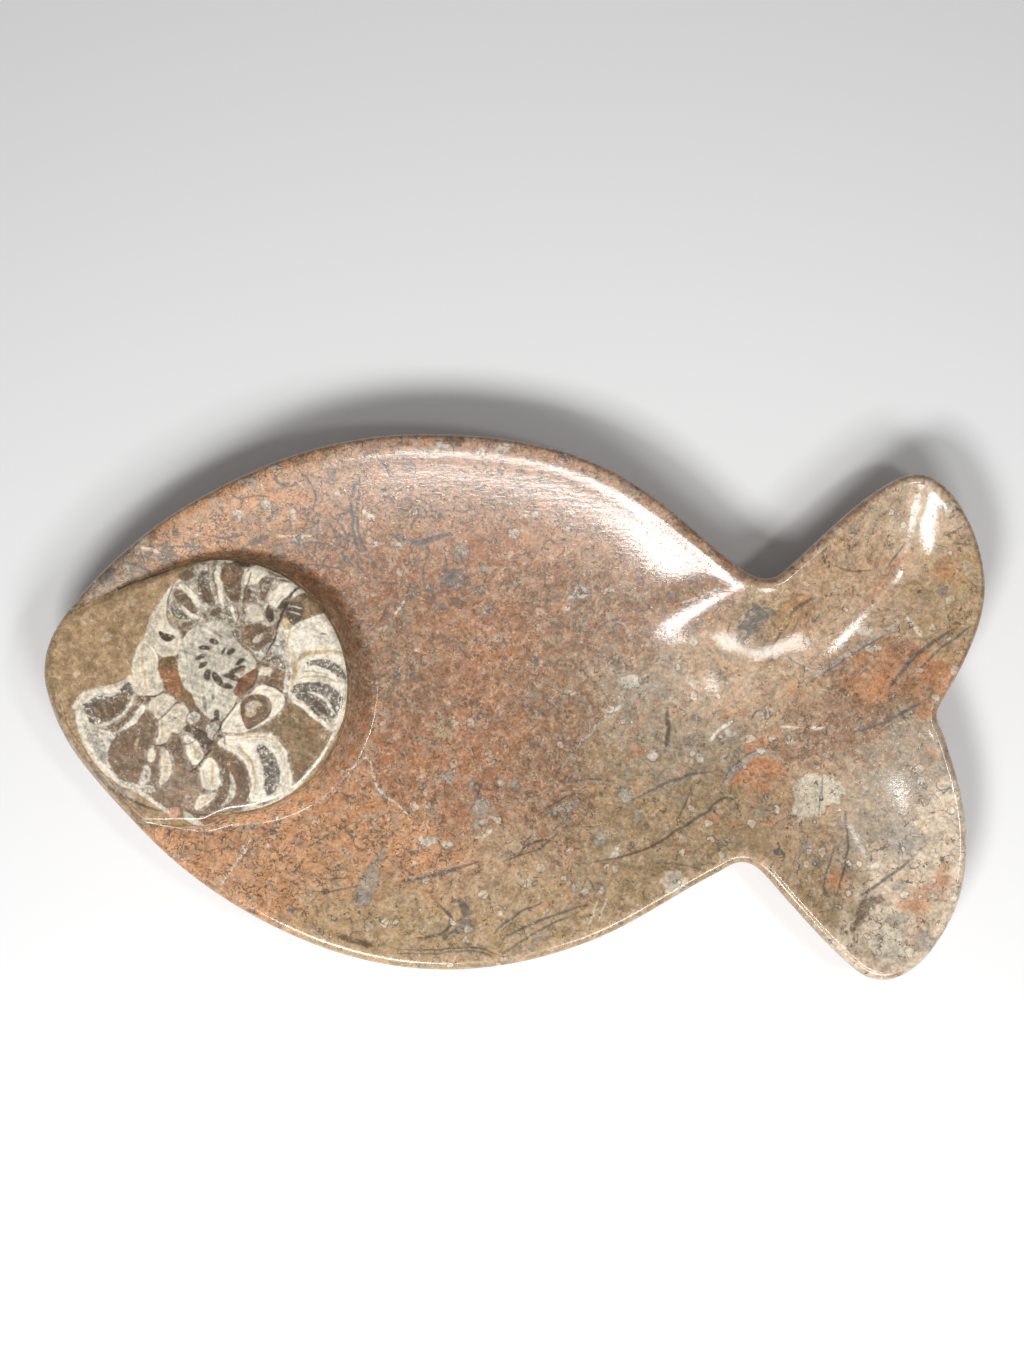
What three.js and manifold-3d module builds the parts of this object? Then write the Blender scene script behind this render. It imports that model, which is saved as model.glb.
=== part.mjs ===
// A fish-shaped dish carved from red-brown fossil limestone, its nose towards -X and its back towards +Y.
// A block of darker limestone that holds a coiled goniatite is let in at the head, as the eye and the nose.
// Units are millimetres, and the dish stands on its flat base at z = 0.
import * as THREE from 'three';
import { mergeVertices } from 'three/addons/utils/BufferGeometryUtils.js';
import Module from 'manifold-3d';

// Thickness of the stone, and its rounded outer edge
const RIM_HEIGHT = 22;
const RIM_ROUND = 2.5;
const RIM_CREST = 2.2;
const RIM_BLEND = 3;

// Under the rim the side curves in to the flat base
const FOOT_INSET = 5;
const SIDE_ANGLES = [25, 50, 72, 90];

// The wider bevel on the lower outer edge of the fossil block
const BEVEL_EXTRA = 2.6;
const BEVEL_CENTRE = [-101, -14];
const BEVEL_REACH = 24;

// Along the fish: the hollow's depth, and how far in from the rim it keeps getting deeper
const HOLLOW = [
  { x: 10, depth: 11, reach: 58 },
  { x: 57, depth: 9.8, reach: 32 },
  { x: 88, depth: 8, reach: 23 },
];

// The block's top is flat and flush with the rim, with a steep wall and a hollow fillet at its foot
const BLOCK_EDGE_ROUND = 6;
const WALL_SLOPE = 2.9;
const WALL_FILLET = 8;

// The block stands in a seat in the slab, with a strip of filler in the seam round it
const SEAT_HEIGHT = 9;
const CLEARANCE = 0.3;
const FILLER_WIDTH = 0.8;
const CUT_TOP = RIM_HEIGHT + 8;

// Spacing of the mesh's points
const OUTLINE_STEP = 3.6;
const RIM_INSETS = [0, 0.8, 2.2, 3.7, 5.5];
const WALL_OFFSETS = [-2.2, -0.7, 0.6, 2, 3.6, 5.6, 8.5];
const FLOOR_PITCH = 6;
const RIM_RING_GAP = 0.6;
const WALL_RING_GAP = 1.1;
const CLEAR_OF_RIM = 1.2;
const CLEAR_OF_RINGS = 2.6;
const FAR_AWAY = 900;

// The fish's outline, clockwise from the top of its back: x, y and the heading there in degrees
const OUTLINE = [
  [-21.8, 65.5, 0],
  [12.5, 61.1, -17],
  [38.4, 46.5, -40],
  [53.7, 33.7, -37],
  [62.7, 31.5, 28.6],
  [66.6, 34.6, 40.6],
  [89.6, 53.7, 30],
  [99.0, 55.4, -22.5],
  [106.4, 48.8, -57],
  [112.6, 30.0, -87],
  [107.7, 11.0, -115],
  [102.9, 2.3, -120],
  [101.1, -2.3, -85],
  [102.8, -6.9, -72],
  [108.2, -31.1, -89],
  [104.5, -50.6, -117],
  [91.2, -64.9, -160],
  [82.0, -63.2, -219],
  [64.5, -45.4, -228],
  [57.6, -38.2, -215],
  [52.9, -37.4, -163],
  [48.5, -39.7, -153],
  [17.8, -56.2, -159],
  [-11.2, -62.8, -176.5],
  [-50.2, -56.0, -202.5],
  [-87.4, -31.5, -225],
  [-104.4, -13.2, -233],
  [-112.4, 4.9, -258],
  [-111.8, 14.7, -288],
  [-106.9, 23.3, -307],
  [-89.3, 41.0, -321],
  [-63.8, 56.2, -335],
];

// The seam round the block, from outside the rim above the nose, over the eye, to outside the rim below it
const SEAM = [
  [-118.0, 14.5, 38],
  [-107.0, 22.3, 30],
  [-94.0, 28.8, 24],
  [-83.0, 32.8, 20],
  [-70.2, 35.6, 0],
  [-39.6, 5.0, -90],
  [-67.0, -25.5, -177],
  [-76.0, -28.4, -182],
  [-90.5, -28.2, -184],
  [-108.0, -26.5, -186],
];
const BEYOND_NOSE = [
  [-126.0, -24.0],
  [-126.0, 12.0],
];

// The wider patch of filler at the lower left of the eye, clockwise
const PATCH = [
  [-66.0, -25.4],
  [-74.0, -28.7],
  [-81.6, -29.3],
  [-82.6, -26.0],
  [-82.2, -23.9],
  [-79.2, -23.6],
  [-76.6, -25.4],
  [-69.5, -25.6],
];

const wasm = await Module();
wasm.setup();

// A smooth curve through points that each have a heading, as evenly spaced Vector2 points
function curveThrough(stations, closed, step) {
  const path = new THREE.CurvePath();
  const spans = closed ? stations.length : stations.length - 1;
  for (let i = 0; i < spans; i++) {
    const [ax, ay, aHeading] = stations[i];
    const [bx, by, bHeading] = stations[(i + 1) % stations.length];
    const start = new THREE.Vector2(ax, ay);
    const end = new THREE.Vector2(bx, by);
    const turn = THREE.MathUtils.euclideanModulo(bHeading - aHeading + 180, 360) - 180;
    const quarter = THREE.MathUtils.degToRad(turn) / 4;
    const handle = start.distanceTo(end) / (3 * Math.cos(quarter) ** 2);
    const leave = headingVector(aHeading).multiplyScalar(handle).add(start);
    const arrive = headingVector(bHeading).multiplyScalar(-handle).add(end);
    path.add(new THREE.CubicBezierCurve(start, leave, arrive, end));
  }
  const count = Math.round(path.getLength() / step);
  const points = path.getSpacedPoints(count);
  if (closed) points.pop();
  return points;
}

function headingVector(degrees) {
  const angle = THREE.MathUtils.degToRad(degrees);
  return new THREE.Vector2(Math.cos(angle), Math.sin(angle));
}

// The same line moved sideways, to the right of its own direction by the inset
function shifted(points, inset, closed) {
  const last = points.length - 1;
  return points.map((point, i) => {
    const before = points[i > 0 ? i - 1 : closed ? last : 0];
    const after = points[i < last ? i + 1 : closed ? 0 : last];
    const along = after.clone().sub(before).normalize();
    return new THREE.Vector2(point.x + along.y * inset, point.y - along.x * inset);
  });
}

const outline = curveThrough(OUTLINE, true, OUTLINE_STEP);
const seam = curveThrough(SEAM, false, OUTLINE_STEP);
const blockOutline = [...seam, ...BEYOND_NOSE.map(([x, y]) => new THREE.Vector2(x, y))];

function distanceTo(polygon, point) {
  let nearest = Infinity;
  polygon.forEach((a, i) => {
    const edge = polygon[(i + 1) % polygon.length].clone().sub(a);
    const share = THREE.MathUtils.clamp(point.clone().sub(a).dot(edge) / edge.lengthSq(), 0, 1);
    nearest = Math.min(nearest, point.distanceTo(edge.multiplyScalar(share).add(a)));
  });
  return nearest;
}

function isInside(polygon, point) {
  let inside = false;
  polygon.forEach((a, i) => {
    const b = polygon[(i + 1) % polygon.length];
    const spans = a.y > point.y !== b.y > point.y;
    if (spans && point.x < a.x + ((b.x - a.x) * (point.y - a.y)) / (b.y - a.y)) inside = !inside;
  });
  return inside;
}

function smoothMax(a, b, blend) {
  const overlap = blend > 0 ? Math.max(blend - Math.abs(a - b), 0) / blend : 0;
  return Math.max(a, b) + (overlap * overlap * blend) / 4;
}

// A dimension of the hollow at x, eased from one station along the fish to the next
function alongFish(x, key) {
  const next = HOLLOW.findIndex((station) => station.x > x);
  if (next === 0) return HOLLOW[0][key];
  if (next < 0) return HOLLOW[HOLLOW.length - 1][key];
  const a = HOLLOW[next - 1];
  const b = HOLLOW[next];
  return THREE.MathUtils.lerp(a[key], b[key], THREE.MathUtils.smoothstep(x, a.x, b.x));
}

function edgeRound(point) {
  const away = point.distanceTo(new THREE.Vector2(...BEVEL_CENTRE)) / BEVEL_REACH;
  return RIM_ROUND + BEVEL_EXTRA * (1 - THREE.MathUtils.smoothstep(away, 0, 1));
}

// Height of the carved top: the rounded edge, less the hollow, which the block's wall rises out of
function topHeight(point) {
  const inset = distanceTo(outline, point);
  const round = edgeRound(point);
  const lost = Math.max(round - inset, 0);
  const edge = RIM_HEIGHT - round + Math.sqrt(round * round - lost * lost);
  const inward = smoothMax(inset - RIM_CREST, 0, RIM_BLEND);
  const share = THREE.MathUtils.clamp(inward / alongFish(point.x, 'reach'), 0, 1);
  const depth = alongFish(point.x, 'depth') * (1 - (1 - share) ** 2);
  const outward = isInside(blockOutline, point) ? -1 : 1;
  const wallDrop = smoothMax(0, WALL_SLOPE * outward * distanceTo(blockOutline, point), BLOCK_EDGE_ROUND);
  return edge + Math.min(smoothMax(-depth, -wallDrop, Math.min(WALL_FILLET, depth)), 0);
}

// Points of the top: rings along the rim, rings along the block's wall, and rows over the floor
function topPoints() {
  const points = [];
  function addPoint(point, spacing) {
    if (points.every((other) => other.distanceTo(point) >= spacing)) points.push(point);
  }
  for (const inset of RIM_INSETS) {
    shifted(outline, inset, true).forEach((point) => addPoint(point, inset > 0 ? RIM_RING_GAP : 0));
  }
  for (const offset of WALL_OFFSETS) {
    for (const point of shifted(seam, -offset, false)) {
      const onTop = isInside(outline, point) && distanceTo(outline, point) > CLEAR_OF_RIM;
      if (onTop) addPoint(point, WALL_RING_GAP);
    }
  }
  const rowPitch = FLOOR_PITCH * Math.sin(Math.PI / 3);
  const bounds = new THREE.Box2().setFromPoints(outline);
  for (let row = 1; bounds.min.y + row * rowPitch < bounds.max.y; row++) {
    const stagger = row % 2 ? FLOOR_PITCH / 2 : 0;
    for (let x = bounds.min.x + stagger; x < bounds.max.x; x += FLOOR_PITCH) {
      const point = new THREE.Vector2(x, bounds.min.y + row * rowPitch);
      const onTop = isInside(outline, point) && distanceTo(outline, point) > CLEAR_OF_RINGS;
      if (onTop) addPoint(point, CLEAR_OF_RINGS);
    }
  }
  return points;
}

// The circle through three points, as its centre and squared radius
function circleThrough(a, b, c) {
  const ab = b.clone().sub(a);
  const ac = c.clone().sub(a);
  const twiceArea = 2 * ab.cross(ac);
  const x = (ac.y * ab.lengthSq() - ab.y * ac.lengthSq()) / twiceArea;
  const y = (ab.x * ac.lengthSq() - ac.x * ab.lengthSq()) / twiceArea;
  return { centre: new THREE.Vector2(a.x + x, a.y + y), radiusSq: x * x + y * y };
}

// Delaunay triangles of the points, counter-clockwise, added one point at a time to one large triangle
function triangulate(points) {
  const corners = [
    new THREE.Vector2(-FAR_AWAY, -FAR_AWAY),
    new THREE.Vector2(FAR_AWAY, -FAR_AWAY),
    new THREE.Vector2(0, FAR_AWAY),
  ];
  const all = [...points, ...corners];
  const first = points.length;
  let triangles = [{ ids: [first, first + 1, first + 2], circle: circleThrough(...corners) }];
  points.forEach((point, id) => {
    const edges = new Map();
    triangles = triangles.filter(({ ids, circle }) => {
      if (circle.centre.distanceToSquared(point) >= circle.radiusSq) return true;
      ids.forEach((from, i) => {
        const to = ids[(i + 1) % ids.length];
        if (!edges.delete(`${to},${from}`)) edges.set(`${from},${to}`, [from, to]);
      });
      return false;
    });
    for (const [from, to] of edges.values()) {
      triangles.push({ ids: [from, to, id], circle: circleThrough(all[from], all[to], point) });
    }
  });
  return triangles.map(({ ids }) => ids).filter((ids) => ids.every((id) => id < first));
}

function solidOf(positions, indices) {
  const mesh = new wasm.Mesh({
    numProp: 3,
    vertProperties: new Float32Array(positions),
    triVerts: new Uint32Array(indices),
  });
  return new wasm.Manifold(mesh);
}

// An upright prism of a plan outline, from a height to above the rim
function prism(points, bottom) {
  const geometry = new THREE.ExtrudeGeometry(new THREE.Shape(points), {
    depth: CUT_TOP - bottom,
    bevelEnabled: false,
  });
  geometry.translate(0, 0, bottom);
  geometry.deleteAttribute('normal');
  geometry.deleteAttribute('uv');
  const merged = mergeVertices(geometry);
  return solidOf(merged.attributes.position.array, merged.index.array);
}

// The whole stone before the block is let in: carved top, rounded side and flat base
function carvedStone() {
  const points = topPoints();
  const positions = points.flatMap((point) => [point.x, point.y, topHeight(point)]);
  const triangles = triangulate(points).filter((ids) => {
    const middle = ids.reduce((sum, id) => sum.add(points[id]), new THREE.Vector2()).divideScalar(ids.length);
    return isInside(outline, middle);
  });
  const count = outline.length;
  let upper = outline.map((point, i) => i);
  for (const degrees of SIDE_ANGLES) {
    const angle = THREE.MathUtils.degToRad(degrees);
    const ring = shifted(outline, FOOT_INSET * (1 - Math.cos(angle)), true);
    const lower = ring.map((point, i) => {
      const id = positions.length / 3;
      positions.push(point.x, point.y, positions[3 * i + 2] * (1 - Math.sin(angle)));
      return id;
    });
    upper.forEach((id, i) => {
      const next = (i + 1) % count;
      triangles.push([id, upper[next], lower[next]], [id, lower[next], lower[i]]);
    });
    upper = lower;
  }
  const foot = shifted(outline, FOOT_INSET, true);
  for (const face of THREE.ShapeUtils.triangulateShape(foot, [])) {
    triangles.push(face.map((i) => upper[i]).reverse());
  }
  return solidOf(positions, triangles.flat());
}

// The space inside the seam, grown past the seam by a margin
function insideSeam(margin, bottom) {
  const corners = BEYOND_NOSE.map(([x, y]) => new THREE.Vector2(x, y));
  return prism([...shifted(seam, -margin, false), ...corners], bottom);
}

function patchSpace(margin, bottom) {
  const corners = PATCH.map(([x, y]) => new THREE.Vector2(x, y));
  return prism(shifted(corners, -margin, true), bottom);
}

function stonePiece(name, solid, color, roughness) {
  const { numProp, vertProperties, triVerts } = solid.getMesh();
  const geometry = new THREE.BufferGeometry();
  geometry.setAttribute('position', new THREE.BufferAttribute(vertProperties, numProp));
  geometry.setIndex(new THREE.BufferAttribute(triVerts, 1));
  geometry.computeVertexNormals();
  const material = new THREE.MeshStandardMaterial({ color, roughness, metalness: 0 });
  const mesh = new THREE.Mesh(geometry, material);
  mesh.name = name;
  return mesh;
}

const stone = carvedStone();
const halfFiller = FILLER_WIDTH / 2;
const bedHeight = SEAT_HEIGHT + CLEARANCE;

// The red slab, with the seat for the block cut into it
function slab() {
  const seat = insideSeam(halfFiller + CLEARANCE, SEAT_HEIGHT);
  return stone.subtract(seat).subtract(patchSpace(CLEARANCE, SEAT_HEIGHT));
}

// The block of darker limestone, which is the nose and the eye
function goniatiteBlock() {
  const block = insideSeam(-halfFiller - CLEARANCE, bedHeight);
  return stone.intersect(block).subtract(patchSpace(CLEARANCE, SEAT_HEIGHT));
}

// The strip of filler in the seam, with the patch that widens it
function seamFiller() {
  const strip = insideSeam(halfFiller, bedHeight).subtract(insideSeam(-halfFiller, SEAT_HEIGHT));
  return stone.intersect(strip.add(patchSpace(0, bedHeight)));
}

const dish = new THREE.Group();
dish.add(stonePiece('slab', slab(), 0xb98468, 0.28));
dish.add(stonePiece('goniatite_block', goniatiteBlock(), 0x9c8768, 0.24));
dish.add(stonePiece('seam_filler', seamFiller(), 0x8f6248, 0.4));

export default dish;
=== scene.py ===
import math

import bpy
import numpy as np
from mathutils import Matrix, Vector
from mathutils.geometry import delaunay_2d_cdt


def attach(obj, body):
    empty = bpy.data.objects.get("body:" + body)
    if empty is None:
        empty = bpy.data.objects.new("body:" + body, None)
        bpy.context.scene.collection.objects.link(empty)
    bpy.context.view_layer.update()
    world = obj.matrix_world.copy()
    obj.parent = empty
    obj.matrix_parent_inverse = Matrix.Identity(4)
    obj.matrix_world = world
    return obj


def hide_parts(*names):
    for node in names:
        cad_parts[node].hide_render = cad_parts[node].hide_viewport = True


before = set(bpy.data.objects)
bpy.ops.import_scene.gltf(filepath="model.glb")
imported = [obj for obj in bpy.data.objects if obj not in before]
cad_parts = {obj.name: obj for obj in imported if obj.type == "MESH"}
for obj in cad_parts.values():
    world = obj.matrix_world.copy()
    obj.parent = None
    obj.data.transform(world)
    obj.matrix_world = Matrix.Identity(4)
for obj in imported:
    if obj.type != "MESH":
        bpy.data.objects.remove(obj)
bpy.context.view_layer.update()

# The red slab
# One piece of red-brown fossil limestone, cut to a fish's outline, hollowed by hand and polished. Its rim is
# rounded, its side curves in to a flat base, and a seat for the fossil block is cut at the head. Lengths are
# in millimetres.
MM = 0.001
RIM_HEIGHT = 22.0
RIM_ROUND = 2.5
RIM_CREST = 2.2
RIM_BLEND = 3.0
FOOT_INSET = 5.0
BEVEL_EXTRA = 2.6
BEVEL_CENTRE = (-101.0, -14.0)
BEVEL_REACH = 24.0
HOLLOW = [
    {"x": 10.0, "depth": 11.0, "reach": 58.0},
    {"x": 57.0, "depth": 9.8, "reach": 32.0},
    {"x": 88.0, "depth": 8.0, "reach": 23.0},
]
# Low swells and dips left by the hand grinding: centre, two radii, turn in degrees and height
SWELLS = [
    (45.0, 24.0, 12.0, 5.0, 20, 1.4),
    (61.0, 13.0, 8.0, 6.0, 40, -1.3),
    (46.0, 9.0, 6.0, 6.0, 20, 1.3),
    (100.0, 34.0, 10.0, 4.0, 42, -1.2),
    (91.0, -15.0, 12.0, 6.0, -38, 0.55),
]
SWELLS_FADE_IN = (2, 9)
BLOCK_EDGE_ROUND = 6.0
WALL_SLOPE = 2.9
WALL_FILLET = 8.0
SEAT_HEIGHT = 9.0
CUT_TOP = 30.0

# The fish's outline, clockwise from the top of its back: x, y and the heading there in degrees
OUTLINE = [
    (-21.8, 65.5, 0), (12.5, 61.1, -17), (38.4, 46.5, -40), (53.7, 33.7, -37), (62.7, 31.5, 28.6),
    (66.6, 34.6, 40.6), (89.6, 53.7, 30), (99.0, 55.4, -22.5), (106.4, 48.8, -57), (112.6, 30.0, -87),
    (107.7, 11.0, -115), (102.9, 2.3, -120), (101.1, -2.3, -85), (102.8, -6.9, -72), (108.2, -31.1, -89),
    (104.5, -50.6, -117), (91.2, -64.9, -160), (82.0, -63.2, -219), (64.5, -45.4, -228),
    (57.6, -38.2, -215), (52.9, -37.4, -163), (48.5, -39.7, -153), (17.8, -56.2, -159),
    (-11.2, -62.8, -176.5), (-50.2, -56.0, -202.5), (-87.4, -31.5, -225), (-104.4, -13.2, -233),
    (-112.4, 4.9, -258), (-111.8, 14.7, -288), (-106.9, 23.3, -307), (-89.3, 41.0, -321),
    (-63.8, 56.2, -335),
]

# The seam round the fossil block, from outside the rim above the nose, over the eye, to outside it below
SEAM = [
    (-118.0, 14.5, 38), (-107.0, 22.3, 30), (-94.0, 28.8, 24), (-83.0, 32.8, 20), (-70.2, 35.6, 0),
    (-39.6, 5.0, -90), (-67.0, -25.5, -177), (-76.0, -28.4, -182), (-90.5, -28.2, -184),
    (-108.0, -26.5, -186),
]
# Two corners in the air before the nose, which close the seam round the block
BEYOND_NOSE = [(-126.0, -24.0), (-126.0, 12.0)]

# The wider patch of filler at the lower left of the eye, clockwise
PATCH = [
    (-66.0, -25.4), (-74.0, -28.7), (-81.6, -29.3), (-82.6, -26.0), (-82.2, -23.9), (-79.2, -23.6),
    (-76.6, -25.4), (-69.5, -25.6),
]


CURVE_POINTS = 80
TINY = 1e-9
FAR = 1e9


def pointing(degrees):
    """The plan direction of a heading."""
    return np.array((math.cos(math.radians(degrees)), math.sin(math.radians(degrees))))


def curve_through(stations, closed, step):
    """A smooth plan curve through points that each have a heading, as evenly spaced points."""
    spans = len(stations) if closed else len(stations) - 1
    runs = []
    for i in range(spans):
        ax, ay, a_heading = stations[i]
        bx, by, b_heading = stations[(i + 1) % len(stations)]
        start = np.array((ax, ay))
        end = np.array((bx, by))
        turn = (b_heading - a_heading + 180) % 360 - 180
        handle = np.hypot(*(end - start)) / (3 * math.cos(math.radians(turn) / 4) ** 2)
        leave = start + handle * pointing(a_heading)
        arrive = end - handle * pointing(b_heading)
        t = np.linspace(0, 1, CURVE_POINTS)[:, None]
        s = 1 - t
        runs.append(s**3 * start + 3 * s**2 * t * leave + 3 * s * t**2 * arrive + t**3 * end)
    line = np.concatenate([run[:-1] for run in runs] + [runs[-1][-1:]])
    return evenly(line, step)[:-1] if closed else evenly(line, step)


def evenly(line, step):
    """The same line with its points about one step apart."""
    gaps = np.hypot(*np.diff(line, axis=0).T)
    along = np.concatenate(([0], np.cumsum(gaps)))
    count = max(int(round(along[-1] / step)), 1)
    stops = np.linspace(0, along[-1], count + 1)
    return np.stack([np.interp(stops, along, line[:, axis]) for axis in (0, 1)], axis=1)


def shifted(points, inset, closed):
    """The line moved sideways, to the right of its own direction."""
    before = np.roll(points, 1, axis=0)
    after = np.roll(points, -1, axis=0)
    if not closed:
        before[0] = points[0]
        after[-1] = points[-1]
    along = after - before
    along /= np.hypot(*along.T)[:, None]
    return points + inset * np.stack((along[:, 1], -along[:, 0]), axis=1)


def line_distance(spots, line, closed):
    """How far each spot is from a line."""
    ends = np.roll(line, -1, axis=0)
    pairs = list(zip(line, ends)) if closed else list(zip(line, ends))[:-1]
    nearest = np.full(len(spots), FAR)
    for a, b in pairs:
        edge = b - a
        share = np.clip((spots - a) @ edge / max(edge @ edge, TINY), 0, 1)
        away = spots - a - share[:, None] * edge
        nearest = np.minimum(nearest, np.hypot(away[:, 0], away[:, 1]))
    return nearest


def is_inside(spots, polygon):
    """Which spots lie inside a polygon."""
    inside = np.zeros(len(spots), bool)
    for a, b in zip(polygon, np.roll(polygon, -1, axis=0)):
        if a[1] == b[1]:
            continue
        spans = (a[1] > spots[:, 1]) != (b[1] > spots[:, 1])
        inside ^= spans & (spots[:, 0] < a[0] + (b[0] - a[0]) * (spots[:, 1] - a[1]) / (b[1] - a[1]))
    return inside


def smoothstep(value, low, high):
    """A soft step from 0 at the low value to 1 at the high one."""
    share = np.clip((value - low) / (high - low), 0, 1)
    return share * share * (3 - 2 * share)


def smooth_max(a, b, blend):
    """The greater of two values, with the corner between them rounded."""
    overlap = np.maximum(blend - np.abs(a - b), 0) / np.maximum(blend, TINY)
    return np.maximum(a, b) + overlap * overlap * blend / 4


def along_fish(x, key):
    """A dimension of the hollow, eased from one station along the fish to the next."""
    value = np.full(len(x), HOLLOW[0][key])
    for a, b in zip(HOLLOW, HOLLOW[1:]):
        value += (b[key] - a[key]) * smoothstep(x, a["x"], b["x"])
    return value


def turned(spots, x, y, degrees):
    """The spots measured from a centre, along and across a turned direction."""
    along = pointing(degrees)
    away = spots - (x, y)
    return away @ along, away @ np.array((-along[1], along[0]))


OUTLINE_STEP = 0.9
outline = curve_through(OUTLINE, True, OUTLINE_STEP)
seam = curve_through(SEAM, False, OUTLINE_STEP)
block_outline = np.concatenate((seam, BEYOND_NOSE))


def seam_side(spots):
    """Distance outside the seam round the block, negative on the block."""
    distance = line_distance(spots, block_outline, True)
    return np.where(is_inside(spots, block_outline), -distance, distance)


def top_height(spots):
    """Height of the carved top: the rounded edge, less the hollow, which the block's wall rises out of."""
    inset = line_distance(spots, outline, True)
    away = np.hypot(spots[:, 0] - BEVEL_CENTRE[0], spots[:, 1] - BEVEL_CENTRE[1]) / BEVEL_REACH
    radius = RIM_ROUND + BEVEL_EXTRA * (1 - smoothstep(away, 0, 1))
    lost = np.maximum(radius - inset, 0)
    edge = RIM_HEIGHT - radius + np.sqrt(radius**2 - lost**2)
    inward = smooth_max(inset - RIM_CREST, 0 * inset, RIM_BLEND)
    share = np.clip(inward / along_fish(spots[:, 0], "reach"), 0, 1)
    depth = along_fish(spots[:, 0], "depth") * (1 - (1 - share) ** 2)
    for x, y, length, width, degrees, height in SWELLS:
        along, across = turned(spots, x, y, degrees)
        swell = np.exp(-((along / length) ** 2) - (across / width) ** 2)
        depth = depth - height * swell * smoothstep(inset, *SWELLS_FADE_IN)
    wall_drop = smooth_max(0 * depth, WALL_SLOPE * seam_side(spots), BLOCK_EDGE_ROUND)
    return edge + np.minimum(smooth_max(-depth, -wall_drop, np.minimum(WALL_FILLET, depth)), 0)


# Marks of the stone are painted on its points in plan: soft zones of ground colour first, then the
# shells that the saw cut through. Between them the material adds the finer grain.
TONES = {
    "salmon": (195, 141, 98),
    "rose": (178, 138, 112),
    "red_brown": (162, 110, 74),
    "brown": (143, 107, 77),
    "ember": (148, 98, 62),
    "olive": (158, 133, 98),
    "khaki": (174, 146, 108),
    "tan": (176, 146, 114),
    "pale_tan": (206, 188, 164),
    "grey_tan": (152, 136, 114),
    "rust": (184, 128, 88),
    "umber": (104, 80, 58),
    "slate": (98, 96, 92),
    "pebble": (158, 148, 134),
    "shadow": (92, 78, 64),
    "chalk": (216, 206, 188),
    "disc": (204, 194, 174),
    "shred": (206, 176, 148),
    "golden": (158, 122, 80),
    "side": (150, 120, 96),
    # Painted shade: the rounded rim along the fish's back, which faces away from the lamps
    "rim_shade": (134, 98, 72),
}

# Ground colour: centre, reach and tone. The pale_tan zone at (104, -25) is no ground colour but a painted
# highlight where the crest of the lower lobe's right rim catches the light.
ZONES = [
    (-100, 28, 9, "grey_tan"), (-89, 37, 9, "brown"), (-75, 46, 13, "salmon"), (-57, 50, 13, "salmon"),
    (-62, 38, 7, "brown"), (-44, 38, 9, "ember"), (-38, 52, 13, "rose"), (-20, 55, 14, "rose"),
    (3, 53, 15, "rose"), (24, 43, 13, "rose"), (41, 30, 11, "brown"), (-28, 33, 12, "ember"),
    (-37, 29, 7, "ember"), (-4, 34, 13, "red_brown"), (16, 24, 13, "brown"), (-30, 8, 13, "brown"),
    (-9, 10, 13, "red_brown"), (12, 6, 12, "brown"), (30, 0, 10, "grey_tan"), (-30, -14, 12, "red_brown"),
    (-10, -18, 12, "red_brown"), (10, -20, 12, "brown"), (-60, -40, 14, "salmon"), (-40, -30, 12, "salmon"),
    (-82, -31, 9, "salmon"), (-42, -50, 11, "khaki"), (-22, -36, 9, "salmon"), (-22, -50, 9, "khaki"),
    (-4, -38, 12, "tan"), (4, -52, 12, "khaki"), (30, -37, 12, "olive"), (26, -22, 10, "olive"),
    (46, -26, 10, "olive"), (40, -8, 10, "grey_tan"), (48, 8, 9, "tan"), (62, 18, 7, "olive"),
    (60, 20, 4, "umber"), (60, -14, 4, "rust"), (70, 10, 9, "tan"), (80, 0, 9, "brown"), (86, 7, 4, "rust"),
    (78, 28, 9, "tan"), (91, 44, 10, "tan"), (93, 46, 7, "pale_tan"), (82, 36, 8, "tan"),
    (106, 32, 8, "khaki"), (70, -26, 9, "tan"), (84, -30, 9, "grey_tan"), (96, -34, 9, "pale_tan"),
    (90, -50, 9, "pale_tan"), (96, -47, 4, "rust"), (78, -42, 3, "rust"), (78, -42, 7, "olive"),
    # The zone at (104, -25) is a painted highlight on the crest of the lower lobe's right rim
    (95, -12, 8, "grey_tan"), (101, 6, 4, "rust"), (104, -25, 5, "pale_tan"),
]

# Patchy tints over the ground: tone, wavelength, seed and share
MOTTLES = [
    ("grey_tan", 6.5, 11, 0.5),
    ("salmon", 4.6, 12, 0.35),
    ("umber", 3.2, 13, 0.16),
    ("pale_tan", 2.8, 14, 0.3),
]

# How strongly each part of a mark covers the ground
SHARES = {
    "area": 0.8,
    "area edge": 0.35,
    "round": 0.75,
    "round edge": 0.5,
    "round core": 0.5,
    "inner ring": 0.8,
    "rust": 0.75,
    "line": 0.92,
    "side": 0.8,
    # Strength of the painted shade on the rounded rim of the fish's back
    "rim": 0.75,
}

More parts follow.
